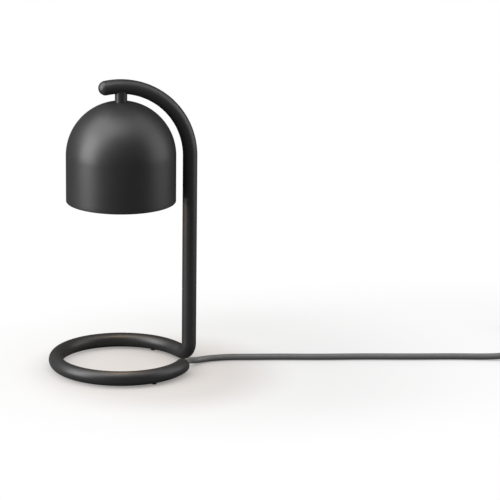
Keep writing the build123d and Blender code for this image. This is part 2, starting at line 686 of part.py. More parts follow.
case_ceiling_z = case_top_z - CASE_WALL
with BuildPart() as switch_cover:
    with BuildSketch(case_base_plane.offset(CASE_BASE_H)):
        RectangleRounded(CASE_L, CASE_W, CASE_CORNER_R)
    extrude(amount=CASE_COVER_H)
    fillet(switch_cover.faces().sort_by(Axis.Z)[-1].edges(), radius=CASE_EDGE_R)
    with BuildSketch(case_base_plane.offset(CASE_BASE_H)):
        RectangleRounded(CASE_L - 2 * CASE_WALL, CASE_W - 2 * CASE_WALL, CASE_CORNER_R - CASE_WALL)
    extrude(amount=CASE_COVER_H - CASE_WALL, mode=Mode.SUBTRACT)
    with BuildSketch(case_base_plane.offset(CASE_BASE_H)):
        with GridLocations(CASE_SCREW_X, CASE_SCREW_Y, 2, 2):
            Circle(CASE_BOSS_D / 2)
    extrude(amount=CASE_COVER_H - CASE_WALL)
    with BuildSketch(case_base_plane.offset(CASE_BASE_H)):
        with GridLocations(CASE_SCREW_X, CASE_SCREW_Y, 2, 2):
            Circle(CASE_SCREW_D / 2 + FIT_GAP)
    extrude(amount=CASE_SCREW_L - CASE_BASE_H + CASE_SCREW_HEAD_T, mode=Mode.SUBTRACT)
    # Holes for the dial's shaft and the button
    with BuildSketch(case_base_plane.offset(case_ceiling_z)):
        with Locations((DIAL_X, 0)):
            Circle(DIAL_SHAFT_D / 2 + RUN_GAP)
        with Locations((BUTTON_X, 0)):
            Circle(BUTTON_D / 2 + RUN_GAP)
    extrude(amount=CASE_WALL, mode=Mode.SUBTRACT)
pieces["switch_cover"] = switch_cover

with BuildPart() as case_screws:
    with BuildSketch(case_base_plane.offset(RUN_GAP)):
        with GridLocations(CASE_SCREW_X, CASE_SCREW_Y, 2, 2):
            Circle(CASE_SCREW_HEAD_D / 2)
    extrude(amount=CASE_SCREW_HEAD_T)
    with BuildSketch(case_base_plane.offset(RUN_GAP)):
        with GridLocations(CASE_SCREW_X, CASE_SCREW_Y, 2, 2):
            Circle(CASE_SCREW_D / 2)
    extrude(amount=CASE_SCREW_L)
pieces["case_screws"] = case_screws


def case_relief(side):
    """Strain relief in one end wall of the controller: side is -1 at the inlet, 1 at the outlet."""
    wall_x = CASE_X + side * CASE_L / 2
    axis_point = Vector(wall_x, case_y, CASE_CORD_Z)
    outward = Vector(side, 0, 0)
    with BuildPart() as relief:
        with BuildSketch(Plane(origin=axis_point, x_dir=outward, z_dir=(0, -side, 0))):
            with BuildLine():
                Polyline(
                    (-CASE_WALL - RELIEF_COLLAR_T, 0),
                    (-CASE_WALL - RELIEF_COLLAR_T, RELIEF_ROOT_D / 2),
                    (-CASE_WALL, RELIEF_ROOT_D / 2),
                    (-CASE_WALL, relief_barrel_r),
                    (0, relief_barrel_r),
                    (CASE_RELIEF_L, RELIEF_TIP_D / 2),
                    (CASE_RELIEF_L, 0),
                    close=True,
                )
            make_face()
        revolve(axis=Axis(axis_point, outward))
    return relief


pieces["switch_inlet_relief"] = case_relief(-1)
pieces["switch_outlet_relief"] = case_relief(1)

with BuildPart() as circuit_board:
    with BuildSketch(case_base_plane.offset(BOARD_Z)):
        Rectangle(BOARD_L, BOARD_W)
    extrude(amount=BOARD_T)
pieces["circuit_board"] = circuit_board

# Potentiometer body on the board, with a running bore for the dial's shaft.
with BuildPart() as potentiometer:
    with BuildSketch(case_base_plane.offset(board_top_z)):
        with Locations((DIAL_X, 0)):
            Circle(POT_D / 2)
    extrude(amount=POT_H)
    with BuildSketch(case_base_plane.offset(board_top_z + BOARD_T)):
        with Locations((DIAL_X, 0)):
            Circle(DIAL_SHAFT_D / 2 + SHAFT_PLAY)
    extrude(amount=POT_H, mode=Mode.SUBTRACT)
pieces["potentiometer"] = potentiometer

dial_z = case_top_z + RUN_GAP
shaft_low_z = board_top_z + BOARD_T + RUN_GAP
shaft_top_z = dial_z + DIAL_H / 2
with BuildPart() as dial_shaft:
    with BuildSketch(case_base_plane.offset(shaft_low_z)):
        with Locations((DIAL_X, 0)):
            Circle(DIAL_SHAFT_D / 2)
    extrude(amount=shaft_top_z - shaft_low_z)
pieces["dial_shaft"] = dial_shaft

with BuildPart() as dimmer_dial:
    with BuildSketch(case_base_plane.offset(dial_z)):
        with Locations((DIAL_X, 0)):
            Circle(DIAL_D / 2)
            with PolarLocations(DIAL_D / 2, DIAL_FLUTES):
                Circle(DIAL_FLUTE_R, mode=Mode.SUBTRACT)
    extrude(amount=DIAL_H)
    with BuildSketch(case_base_plane.offset(dial_z)):
        with Locations((DIAL_X, 0)):
            Circle(DIAL_SHAFT_D / 2 + FIT_GAP)
    extrude(amount=shaft_top_z - dial_z, mode=Mode.SUBTRACT)
    # Pointer groove that runs out to the dial's edge
    with BuildSketch(case_base_plane.offset(dial_z + DIAL_H)):
        with Locations((DIAL_X, (DIAL_D - POINTER_L) / 2)):
            Rectangle(POINTER_W, POINTER_L)
    extrude(amount=-POINTER_DEPTH, mode=Mode.SUBTRACT)
pieces["dimmer_dial"] = dimmer_dial

# Tactile switch on the board and the push button above it.
tact_top_z = board_top_z + TACT_H
with BuildPart() as tact_switch:
    with BuildSketch(case_base_plane.offset(board_top_z)):
        with Locations((BUTTON_X, 0)):
            Rectangle(TACT_SIZE, TACT_SIZE)
    extrude(amount=TACT_H)
    with BuildSketch(case_base_plane.offset(tact_top_z)):
        with Locations((BUTTON_X, 0)):
            Circle(TACT_STEM_D / 2)
    extrude(amount=TACT_STEM_H)
pieces["tact_switch"] = tact_switch

button_low_z = tact_top_z + TACT_STEM_H + BUTTON_TRAVEL + RUN_GAP
flange_top_z = case_ceiling_z - RUN_GAP
with BuildPart() as push_button:
    with BuildSketch(case_base_plane.offset(button_low_z)):
        with Locations((BUTTON_X, 0)):
            Circle(BUTTON_D / 2)
    extrude(amount=case_top_z + BUTTON_PROUD - button_low_z)
    fillet(push_button.edges().group_by(Axis.Z)[-1], radius=EDGE_ROUND)
    with BuildSketch(case_base_plane.offset(flange_top_z)):
        with Locations((BUTTON_X, 0)):
            Circle(BUTTON_D / 2 + BUTTON_FLANGE)
    extrude(amount=-BUTTON_FLANGE)
pieces["push_button"] = push_button

# ---------------------------------------------------------------- plug
def plug_plane(ahead):
    """Plane square to the plug's axis, this far ahead of the body's rear."""
    return Plane(origin=plug_rear + plug_ahead * ahead, x_dir=plug_side, z_dir=plug_ahead)


# Flat two-pin plug that lies on the table.
with BuildPart() as plug_body:
    with BuildSketch(plug_plane(0)):
        SlotOverall(PLUG_TAIL_W, PLUG_TAIL_T)
    with BuildSketch(plug_plane(PLUG_L)):
        SlotOverall(PLUG_W, PLUG_T)
    loft()
    # Tapered tail round the cord, and the sleeves round the pins
    with BuildSketch(Plane(origin=plug_rear, x_dir=-plug_ahead, z_dir=-plug_side)):
        with BuildLine():
            Polyline(
                (-PLUG_TAIL_ROOT, 0),
                (-PLUG_TAIL_ROOT, PLUG_TAIL_T / 2),
                (0, PLUG_TAIL_T / 2),
                (PLUG_RELIEF_L, RELIEF_TIP_D / 2),
                (PLUG_RELIEF_L, 0),
                close=True,
            )
        make_face()
    revolve(axis=Axis(plug_rear, -plug_ahead))
    with BuildSketch(plug_plane(PLUG_L)):
        with Locations((PLUG_PIN_SPACING / 2, 0), (-PLUG_PIN_SPACING / 2, 0)):
            Circle(PLUG_SLEEVE_D / 2)
    extrude(amount=PLUG_SLEEVE_L)
    with BuildSketch(plug_plane(PLUG_L - PLUG_PIN_ROOT_L)):
        with Locations((PLUG_PIN_SPACING / 2, 0), (-PLUG_PIN_SPACING / 2, 0)):
            Circle(PLUG_PIN_CORE_D / 2 + FIT_GAP)
    extrude(amount=PLUG_PIN_ROOT_L + PLUG_SLEEVE_L, mode=Mode.SUBTRACT)
pieces["plug_body"] = plug_body

with BuildPart() as plug_pins:
    with BuildSketch(plug_plane(PLUG_L - PLUG_PIN_ROOT_L)):
        with Locations((PLUG_PIN_SPACING / 2, 0), (-PLUG_PIN_SPACING / 2, 0)):
            Circle(PLUG_PIN_CORE_D / 2)
    extrude(amount=PLUG_PIN_ROOT_L + PLUG_SLEEVE_L)
    with BuildSketch(plug_plane(PLUG_L + PLUG_SLEEVE_L)):
        with Locations((PLUG_PIN_SPACING / 2, 0), (-PLUG_PIN_SPACING / 2, 0)):
            Circle(PLUG_PIN_D / 2)
    extrude(amount=PLUG_PIN_BARE_L)
    pin_tips = plug_pins.edges().group_by(Axis(plug_rear, plug_ahead))[-1]
    fillet(pin_tips, radius=PLUG_PIN_D / 4)
pieces["plug_pins"] = plug_pins

# ---------------------------------------------------------------- cord
# Routes, chosen by hand. Each starts and ends along the axis of the piece that it meets.
relief_tip = ring_end + ring_end_dir * (cap_nose + RELIEF_L)
inlet_tip_x = CASE_X - CASE_L / 2 - CASE_RELIEF_L
outlet_tip_x = CASE_X + CASE_L / 2 + CASE_RELIEF_L
FRONT_ROUTE = [
    tuple(relief_tip),
    tuple(relief_tip + ring_end_dir * 6.0),
    (74.2, -18.3, 7.8),
    (81.7, -11.2, 5.1),
    (89.9, -5.6, 3.8),
    (98.4, -2.5, 3.5),
    (109.0, -1.9, 3.5),
    (124.0, -2.1, 3.5),
    (144.0, -6.5, 3.5),
    (177.0, -12.6, 3.5),
    (222.0, -23.4, 3.5),
    (272.0, -32.3, 3.5),
    (324.0, -44.6, 3.5),
    (370.0, -53.4, 3.5),
    (402.0, -62.0, 3.5),
    (422.0, -67.6, 4.6),
    (inlet_tip_x - 11.0, case_y, CASE_CORD_Z),
    (inlet_tip_x, case_y, CASE_CORD_Z),
]
REAR_ROUTE = [
    (outlet_tip_x, case_y, CASE_CORD_Z),
    (outlet_tip_x + 14.0, case_y, CASE_CORD_Z),
    (outlet_tip_x + 32.0, case_y + 0.3, coil_row_z - 0.1),
    (COIL_X + 1.0, case_y + 0.2, coil_row_z),
]
TAIL_ROUTE = [
    (COIL_X - 2.0, tail_y, coil_row_z + coil_rise),
    (COIL_X - 18.0, tail_y + 0.1, coil_row_z + coil_rise + 1.2),
    (COIL_X - 38.0, tail_y + 0.3, coil_row_z + coil_rise - 1.0),
    tuple(plug_tip - plug_ahead * 15.0),
    tuple(plug_tip),
]


def corner_radii(points):
    """As large an arc at each corner as its two runs allow."""
    places = [Vector(*p) for p in points]
    radii = []
    for before, here, after in zip(places, places[1:], places[2:]):
        turn = math.radians((here - before).get_angle(after - here))
        run = min((here - before).length, (after - here).length)
        radii.append(CORD_ARC_SHARE * run / math.tan(turn / 2))
    return radii


def cord_tube(points):
    """Round cord along straight runs that are joined by tangent arcs."""
    radii = corner_radii(points)
    with BuildPart() as tube:
        with BuildLine() as route:
            FilletPolyline(*points, radius=radii)
        with BuildSketch(across(route.line)):
            Circle(cord_r)
        sweep(path=route.line)
    length = sum(edge.length for edge in route.edges())
    fill = tube.part.volume / (math.pi * cord_r**2 * length)
    print(f"cord length {length:.1f}, volume over section times length {fill:.4f}")
    print(f"    radii {[round(r) for r in radii]}")
    return tube


pieces["cord_front_run"] = cord_tube(FRONT_ROUTE)
pieces["cord_rear_run"] = cord_tube(REAR_ROUTE)
pieces["cord_plug_tail"] = cord_tube(TAIL_ROUTE)

# Coil: the outer shape of turns that lie beside and on each other.
turn_centres = [(r, coil_row_z) for r in COIL_BOTTOM_RADII]
turn_centres += [(r, coil_row_z + coil_rise) for r in COIL_TOP_RADII]
coil_axis = Axis((COIL_X, COIL_Y, 0), (0, 0, 1))
with BuildPart() as cord_coil:
    with BuildSketch(Plane(origin=(COIL_X, COIL_Y, 0), x_dir=(1, 0, 0), z_dir=(0, -1, 0))):
        with Locations(*turn_centres):
            Circle(cord_r)
        make_hull()
    revolve(axis=coil_axis)
pieces["cord_coil"] = cord_coil

# Strap that ties the coil, on the side away from the lamp.
tie_turn = math.radians(-TIE_SPAN / 2)
tie_plane = Plane(
    origin=(COIL_X, COIL_Y, 0),
    x_dir=(math.cos(tie_turn), math.sin(tie_turn), 0),
    z_dir=(math.sin(tie_turn), -math.cos(tie_turn), 0),
)
with BuildPart() as coil_tie:
    with BuildSketch(tie_plane):
        with BuildSketch(mode=Mode.PRIVATE) as strap_inside:
            with Locations(*turn_centres):
                Circle(cord_r + FIT_GAP)
            make_hull()
        with Locations(*turn_centres):
            Circle(cord_r + TIE_T + TIE_GAP)
        make_hull()
        add(strap_inside.sketch, mode=Mode.SUBTRACT)
    revolve(axis=coil_axis, revolution_arc=TIE_SPAN)
pieces["coil_tie"] = coil_tie

# ---------------------------------------------------------------- write every piece
os.makedirs("parts", exist_ok=True)
for name, piece in pieces.items():
    piece.part.label = name
    export_step(piece.part, f"parts/{name}.step")
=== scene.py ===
"""Finishes, modelled surfaces and studio of a candle warmer lamp.

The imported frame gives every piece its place. The classes below model the surfaces that
show, one class for each sub-assembly, and dress every piece in a material worked out
from its real finish. Sizes in the classes are millimetres, and meshes are metres.
"""

import logging
import math
from collections.abc import Mapping, Sequence
from dataclasses import dataclass
from enum import Enum
from typing import Any

import bmesh
import bpy
import numpy as np
from mathutils import Matrix, Vector

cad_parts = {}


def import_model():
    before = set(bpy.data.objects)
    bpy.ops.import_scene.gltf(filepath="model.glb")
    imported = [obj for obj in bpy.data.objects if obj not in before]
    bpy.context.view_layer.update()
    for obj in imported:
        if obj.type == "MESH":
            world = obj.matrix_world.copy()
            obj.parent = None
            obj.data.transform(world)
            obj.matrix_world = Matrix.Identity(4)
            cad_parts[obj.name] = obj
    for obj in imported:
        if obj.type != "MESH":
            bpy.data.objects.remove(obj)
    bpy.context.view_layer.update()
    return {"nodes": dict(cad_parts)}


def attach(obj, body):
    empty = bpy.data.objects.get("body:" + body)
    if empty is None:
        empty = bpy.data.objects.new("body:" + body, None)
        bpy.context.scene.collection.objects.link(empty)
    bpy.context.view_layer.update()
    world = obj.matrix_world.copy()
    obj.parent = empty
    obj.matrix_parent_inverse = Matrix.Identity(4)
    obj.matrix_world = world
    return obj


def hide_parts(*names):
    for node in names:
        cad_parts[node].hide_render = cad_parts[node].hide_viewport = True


log = logging.getLogger("candle_warmer_lamp")

MM = 0.001  # metres in a millimetre
PLAIN_SHARP_DEG = 32.0  # edges that turn more than this stay sharp
BEAD_SHARP_DEG = 40.0  # the same for the shade with its small rolled bead
THREAD_SHARP_DEG = 50.0  # the same for threads and facets
WELD_MM = 0.0005  # points nearer than this are one point
UNDER_HALF = 0.49  # share of a side that a softened corner takes at most
WAVE_RADIANS = 20.0  # a wave texture's phase grows by this over one unit at scale one
UP = np.array((0.0, 0.0, 1.0))

Rings = np.ndarray  # points of a surface: stations along it, places around it, x y z


# ---------------------------------------------------------------- shapes
@dataclass
class Path:
    """A curve in space as points with their unit tangents, both of shape (n, 3)."""

    points: np.ndarray
    tangents: np.ndarray

    def then(self, other: "Path") -> "Path":
        """This path followed by another that starts where it ends."""
        return Path(
            np.vstack((self.points, other.points[1:])),
            np.vstack((self.tangents, other.tangents[1:])),
        )


def unit(vector: Sequence[float]) -> np.ndarray:
    """The vector at length one."""
    array = np.asarray(vector, dtype=float)
    return array / np.linalg.norm(array)


def directions(points: np.ndarray) -> np.ndarray:
    """Unit tangents of a row of points: the differences between neighbours at length one."""
    steps = np.gradient(points, axis=0)
    return steps / np.linalg.norm(steps, axis=1, keepdims=True)


def heading(degrees: float) -> np.ndarray:
    """Level unit vector at an azimuth in degrees."""
    turn = math.radians(degrees)
    return np.array((math.cos(turn), math.sin(turn), 0.0))


def ease(value: np.ndarray, start: float, end: float) -> np.ndarray:
    """Smooth step from 0 to 1: three times the share squared less two times its cube."""
    share = np.clip((value - start) / (end - start), 0.0, 1.0)
    return share * share * (3 - 2 * share)


def hump(value: np.ndarray, start: float, end: float) -> np.ndarray:
    """Hump from 0 to 1 and back: the squared sine of half a turn's share."""
    return np.sin(np.clip((value - start) / (end - start), 0.0, 1.0) * math.pi) ** 2


def line(start: Sequence[float], end: Sequence[float], steps: int = 2) -> Path:
    """Straight path: start plus a share of the way to the end.

    Args:
        start: First point.
        end: Last point.
        steps: Number of points.

    Returns:
        The path.
    """
    share = np.linspace(0.0, 1.0, steps)[:, None]
    first, last = np.asarray(start, float), np.asarray(end, float)
    points = first + share * (last - first)
    return Path(points, np.tile(unit(last - first), (steps, 1)))


def arc(centre: Sequence[float], start: Sequence[float], tangent: Sequence[float],
        degrees: float, steps: int) -> Path:
    """Circular path.

    A point is the centre, plus the turn's cosine times the first spoke, plus its sine times the
    radius along the first tangent.

    Args:
        centre: Middle of the circle.
        start: First point.
        tangent: Direction of travel at the start.
        degrees: How far the path turns.
        steps: Number of points.

    Returns:
        The path.
    """
    turn = np.radians(np.linspace(0.0, degrees, steps))[:, None]
    middle = np.asarray(centre, float)
    spoke = np.asarray(start, float) - middle
    radius = np.linalg.norm(spoke)
    ahead = unit(tangent)
    points = middle + np.cos(turn) * spoke + np.sin(turn) * radius * ahead
    tangents = np.cos(turn) * ahead - np.sin(turn) * spoke / radius
    return Path(points, tangents)


def soften(corners: Sequence[Sequence[float]], radius: float, steps: int,
           closed: bool = True) -> np.ndarray:
    """Rounds an outline's corners.

    Each corner becomes a quadratic curve whose control point is the corner and whose ends
    lie the radius along its two sides, or a little under half a side if that is less.

    Args:
        corners: The outline's corners, (x, y).
        radius: How far from each corner its curve starts.
        steps: Points for each rounded corner.
        closed: Whether the outline closes on itself; an open one keeps its two ends.

    Returns:
        The points of the rounded outline.
    """
    here = np.asarray(corners, float)
    before, after = np.roll(here, 1, axis=0), np.roll(here, -1, axis=0)

    def along(other: np.ndarray) -> np.ndarray:
        """Points on the way from each corner to its neighbour."""
        side = other - here
        length = np.linalg.norm(side, axis=1, keepdims=True)
        return here + side / length * np.minimum(radius, UNDER_HALF * length)

    first, last = along(before)[:, None, :], along(after)[:, None, :]
    share = np.linspace(0.0, 1.0, steps)[None, :, None]
    curve = (1 - share) ** 2 * first + 2 * share * (1 - share) * here[:, None, :] + share**2 * last
    if closed:
        return curve.reshape(-1, 2)
    return np.vstack((here[:1], curve[1:-1].reshape(-1, 2), here[-1:]))


def rounded_box(half_x: float, half_y: float, radius: float, corner: int = 12,
                side: int = 8) -> np.ndarray:
    """Outline of a box with round corners: corner arcs, and even steps along the straight sides.

    Args:
        half_x: Half its length.
        half_y: Half its width.
        radius: Radius of its corners.
        corner: Points for each corner.
        side: Points between two corners.

    Returns:
        The outline, counter-clockwise.
    """
    signs = np.array(((1, -1), (1, 1), (-1, 1), (-1, -1)))
    centres = signs * np.array((half_x - radius, half_y - radius))
    turns = np.radians(np.array((-90, 0, 90, 180))[:, None] + np.linspace(0, 90, corner)[None, :])
    arcs = centres[:, None, :] + radius * np.stack((np.cos(turns), np.sin(turns)), axis=-1)
    share = np.linspace(0.0, 1.0, side + 2)[1:-1][None, :, None]
    sides = arcs[:, -1:, :] + share * (np.roll(arcs, -1, axis=0)[:, :1, :] - arcs[:, -1:, :])
    return np.concatenate((arcs, sides), axis=1).reshape(-1, 2)


def circle(radius: float, around: int) -> np.ndarray:
    """Points of a circle in a section's own plane."""
    turn = np.linspace(0.0, 2 * math.pi, around, endpoint=False)
    return radius * np.stack((np.cos(turn), np.sin(turn)), axis=1)


def bow(middle: Sequence[float], radius: float, first: float, last: float,
        steps: int) -> np.ndarray:
    """Round stretch of a profile: its middle plus the radius along a spoke that turns evenly.

    Args:
        middle: The stretch's middle, (radius, height).
        radius: Its own radius.
        first: Angle of its first point above the level, in radians.
        last: Angle of its last point.
        steps: Number of points.

    Returns:
        The points, (radius, height).
    """
    turn = np.linspace(first, last, steps)
    return np.asarray(middle, float) + radius * np.column_stack((np.cos(turn), np.sin(turn)))


def carry(path: Path, sections: np.ndarray, side: Sequence[float] | np.ndarray) -> Rings:
    """Carries a section along a path.

    A point of the surface is the path's point, plus the section's first measure along the
    side direction, plus its second along the cross product of the tangent and the side.

    Args:
        path: The path.
        sections: One section of shape (m, 2), or one for each station, (n, m, 2).
        side: A direction square to the whole path, (3,), or one for each station, (n, 3).

    Returns:
        The surface's rings.
    """
    across = np.broadcast_to(side, path.points.shape)
    other = np.cross(path.tangents, across)
    shape = np.broadcast_to(sections, (len(path.points),) + sections.shape[-2:])
    return (path.points[:, None, :] + shape[..., :1] * across[:, None, :]
            + shape[..., 1:] * other[:, None, :])


def turned(profile: np.ndarray, origin: Sequence[float] = (0, 0, 0),
           axis: Sequence[float] = (0, 0, 1), around: int = 64) -> Rings:
    """Turns a profile about an axis.

    A point is the origin, plus the profile's height along the axis, plus its radius along a
    spoke that goes round the axis.

    Args:
        profile: (radius, height) of each station.
        origin: Point of the axis at height zero.
        axis: Direction of the axis.
        around: Places around the axis.

    Returns:
        The surface's rings.
    """
    along = unit(axis)
    spoke = unit(np.cross(along, (1.0, 0.0, 0.0) if abs(along[0]) < 0.9 else (0.0, 1.0, 0.0)))
    rounds = circle(1.0, around)
    spokes = rounds[:, :1] * spoke + rounds[:, 1:] * np.cross(along, spoke)
    heights = np.asarray(origin, float) + profile[:, 1:] * along
    return heights[:, None, :] + profile[:, :1, None] * spokes[None, :, :]


def ringed(radius: np.ndarray, height: np.ndarray) -> Rings:
    """Rings about the upright axis: each place's radius times its spoke, at its height.

    Args:
        radius: One radius for each place, (stations, around).
        height: One height for each place, or for each station as (stations, 1).

    Returns:
        The surface's rings.
    """
    level = radius[..., None] * circle(1.0, radius.shape[1])[None]
    return np.concatenate((level, np.broadcast_to(height, radius.shape)[..., None]), axis=-1)


def stand(name: str, data: bpy.types.ID) -> bpy.types.Object:
    """Makes an object of its data and puts it into the scene."""
    made = bpy.data.objects.new(name, data)
    bpy.context.scene.collection.objects.link(made)
    return made


@dataclass
class Patch:
    """A surface patch: its rings, and whether its last ring joins its first."""

    rings: Rings
    loops: bool = False

    def quads(self, first: int) -> np.ndarray:
        """Four corner numbers of each face: a place, the next one round, and both on the next ring.

        Args:
            first: Number of the patch's first point in its mesh.

        Returns:
            The faces, (count, 4).
        """
        stations, around = self.rings.shape[:2]
        numbers = first + np.arange(stations * around).reshape(stations, around)
        if self.loops:
            numbers = np.vstack((numbers, numbers[:1]))
        onward = np.roll(numbers, -1, axis=1)
        corners = np.stack((numbers[:-1], onward[:-1], onward[1:], numbers[1:]), axis=-1)
        return corners.reshape(-1, 4)


def capped(rings: Rings) -> Patch:
    """Closes a surface's two ends by drawing each to the middle of its last ring."""
    first, last = rings[:1].mean(axis=1, keepdims=True), rings[-1:].mean(axis=1, keepdims=True)
    around = np.ones((1, rings.shape[1], 1))
    return Patch(np.concatenate((first * around, rings, last * around)))


def model(name: str, patches: Sequence[Patch],
          sharp_deg: float = PLAIN_SHARP_DEG) -> bpy.types.Object:
    """Makes one mesh piece of surface patches, welded, closed at its poles and facing outwards.

    Args:
        name: The piece's name.
        patches: Its patches, in millimetres.
        sharp_deg: Edges that turn more than this stay sharp.

    Returns:
        The new object.
    """
    points = np.concatenate([patch.rings.reshape(-1, 3) for patch in patches]) * MM
    counts = [patch.rings.shape[0] * patch.rings.shape[1] for patch in patches]
    starts = np.concatenate(([0], np.cumsum(counts)[:-1]))
    faces = np.concatenate([patch.quads(int(start)) for patch, start in zip(patches, starts)])
    mesh = bpy.data.meshes.new(name)
    mesh.from_pydata(points.tolist(), [], faces.tolist())
    shell = bmesh.new()
    shell.from_mesh(mesh)
    bmesh.ops.remove_doubles(shell, verts=shell.verts, dist=WELD_MM * MM)
    bmesh.ops.dissolve_degenerate(shell, edges=shell.edges, dist=WELD_MM * MM)
    bmesh.ops.recalc_face_normals(shell, faces=shell.faces)
    shell.to_mesh(mesh)
    shell.free()
    mesh.shade_smooth()
    mesh.set_sharp_from_angle(angle=math.radians(sharp_deg))
    return stand(name, mesh)


# ---------------------------------------------------------------- materials
def linear(colour: str) -> tuple[float, float, float, float]:
    """Turns an sRGB hex colour into linear light.

    Args:
        colour: Such as "#2b2b2c".

    Returns:
        Red, green, blue and an alpha of one.
    """
    parts = np.array([int(colour[i:i + 2], 16) for i in (1, 3, 5)]) / 255
    light = np.where(parts <= 0.04045, parts / 12.92, ((parts + 0.055) / 1.055) ** 2.4)
    return (float(light[0]), float(light[1]), float(light[2]), 1.0)


def add_node(tree: bpy.types.NodeTree, kind: str, values: Mapping[Any, Any] | None = None,
             links: Mapping[Any, Any] | None = None, **settings: Any) -> bpy.types.Node:
    """Adds a node.

    Args:
        tree: The node tree.
        kind: The node's type name.
        values: Input sockets and the values they take.
        links: Input sockets and the output sockets that feed them.
        settings: The node's own settings.

    Returns:
        The node.
    """
    node = tree.nodes.new(kind)
    for key, setting in settings.items():
        setattr(node, key, setting)
    for key, value in (values or {}).items():
        node.inputs[key].default_value = value
    for key, source in (links or {}).items():
        tree.links.new(source, node.inputs[key])
    return node


def emptied(owner: bpy.types.Material | bpy.types.World) -> bpy.types.NodeTree:
    """Turns on the nodes of a material or a world, and clears them."""
    owner.use_nodes = True
    owner.node_tree.nodes.clear()
    return owner.node_tree


class Grain(Enum):
    """What a surface's finest relief is made of."""

    PEEL = "soft bumps of a flowed or moulded skin"
    BRUSHED = "fine lines along one axis"
    WOVEN = "crossing threads"


@dataclass(frozen=True)
class Finish:
    """One material: the real one's colour, gloss and relief.

    The grain size and depth are real sizes, drawn no finer than the render can show.
    """

    name: str
    colour: str
    darker: str
    roughness: float
    spread: float = 0.05  # how far the roughness wanders either way
    metallic: float = 0.0
    ior: float = 1.5
    grain: Grain = Grain.PEEL
    grain_mm: float = 1.0  # size of the finest relief; a weave's threads lie 2 pi of it apart
    depth_mm: float = 0.01
    mottle_mm: float = 12.0  # size of the slow changes in colour and gloss
    lines_along: tuple[float, float, float] = (1.0, 1.0, 0.02)
    transmission: float = 0.0
    glow: float = 0.0

    def material(self) -> bpy.types.Material:
        """Builds the material, or returns the one built before."""
        known = bpy.data.materials.get(self.name)
        if known is not None:
            return known
        made = bpy.data.materials.new(self.name)
        tree = emptied(made)
        place = add_node(tree, "ShaderNodeTexCoord").outputs["Object"]
        mottle = add_node(tree, "ShaderNodeTexNoise", {
            "Scale": 1 / (self.mottle_mm * MM), "Detail": 3.0}, {"Vector": place}).outputs["Fac"]
        relief = self.relief(tree, place)
        tone = add_node(tree, "ShaderNodeMix", {6: linear(self.darker), 7: linear(self.colour)},
                        {0: mottle}, data_type="RGBA")
        gloss = add_node(tree, "ShaderNodeMapRange", {  # the noise stays mostly within these two
            "From Min": 0.3, "From Max": 0.7, "To Min": self.roughness - self.spread,
            "To Max": self.roughness + self.spread}, {"Value": mottle})
        bump = add_node(tree, "ShaderNodeBump", {"Strength": 1.0, "Distance": self.depth_mm * MM},
                        {"Height": relief})
        shader = add_node(tree, "ShaderNodeBsdfPrincipled",
                          {"Metallic": self.metallic, "IOR": self.ior,
                           "Transmission Weight": self.transmission,
                           "Emission Color": linear(self.colour), "Emission Strength": self.glow},
                          {"Base Color": tone.outputs[2], "Roughness": gloss.outputs["Result"],
                           "Normal": bump.outputs["Normal"]})
        add_node(tree, "ShaderNodeOutputMaterial", links={"Surface": shader.outputs["BSDF"]})
        return made

    def relief(self, tree: bpy.types.NodeTree, place: bpy.types.NodeSocket) -> bpy.types.NodeSocket:
        """Adds the height pattern of the finish's grain.

        Args:
            tree: The material's nodes.
            place: Object coordinates.

        Returns:
            The socket that gives the height.
        """
        scale = 1 / (self.grain_mm * MM)
        if self.grain is Grain.WOVEN:
            warp, weft = (
                add_node(tree, "ShaderNodeTexWave", {
                    "Scale": scale / WAVE_RADIANS, "Distortion": 0.4}, {"Vector": place},
                    bands_direction=axis).outputs["Fac"] for axis in "XZ")
            return add_node(tree, "ShaderNodeMath", links={0: warp, 1: weft},
                            operation="MULTIPLY").outputs["Value"]
        if self.grain is Grain.BRUSHED:
            place = add_node(tree, "ShaderNodeMapping", {"Scale": self.lines_along},
                             {"Vector": place}).outputs["Vector"]
        return add_node(tree, "ShaderNodeTexNoise", {"Scale": scale, "Detail": 2.0},
                        {"Vector": place}).outputs["Fac"]


# Polyester powder coat, sprayed dry and baked: a dense, nearly neutral black with a soft, wide
# sheen and a faint peel. The real peel is about 0.4 mm and is drawn at 1.2 mm.
POWDER_COAT = Finish("black_powder_coat", "#242425", "#202021", 0.43, 0.02, ior=1.5,
                     grain_mm=1.2, depth_mm=0.022, mottle_mm=30)
# Moulded nylon in the coat's colour: a touch flatter than the coat.
CAP_NYLON = Finish("moulded_black_nylon", "#262627", "#212122", 0.46, 0.03,
                   grain_mm=0.9, depth_mm=0.014)
# Soft PVC jacket, extruded: greyer than the coat, with a low waxy gloss.
CORD_PVC = Finish("extruded_pvc_jacket", "#636364", "#59595a", 0.38, 0.05, ior=1.48,
                  grain_mm=1.6, depth_mm=0.03, mottle_mm=9)
# Moulded PVC of the strain reliefs: the cord's grey with a finer skin.
RELIEF_PVC = Finish("moulded_pvc_relief", "#646465", "#5a5a5b", 0.34, 0.05,
                    grain_mm=0.8, depth_mm=0.006)
# Silicone rubber of the feet: dull and dark.
FOOT_RUBBER = Finish("black_silicone_rubber", "#1b1b1c", "#161617", 0.62, 0.04, ior=1.41,
                     grain_mm=0.6, depth_mm=0.01)
# ABS from a spark-eroded mould: even charcoal, with a gloss broken by pits of about 0.1 mm,
# drawn at 0.7 mm so that they show.
CASE_ABS = Finish("spark_eroded_abs", "#2c2c2e", "#252527", 0.48, 0.05, ior=1.53, grain_mm=0.7,
                  depth_mm=0.03)
# Polished ABS of the dial and button: smoother than the case.
KNOB_ABS = Finish("satin_abs", "#303032", "#29292b", 0.32, 0.05, ior=1.53,
                  grain_mm=1.0, depth_mm=0.004)
# Pad-printed ink: flat and off white.
SCALE_INK = Finish("pad_printed_ink", "#d8d8d4", "#cfcfca", 0.6, 0.03, grain_mm=0.8, depth_mm=0.002)
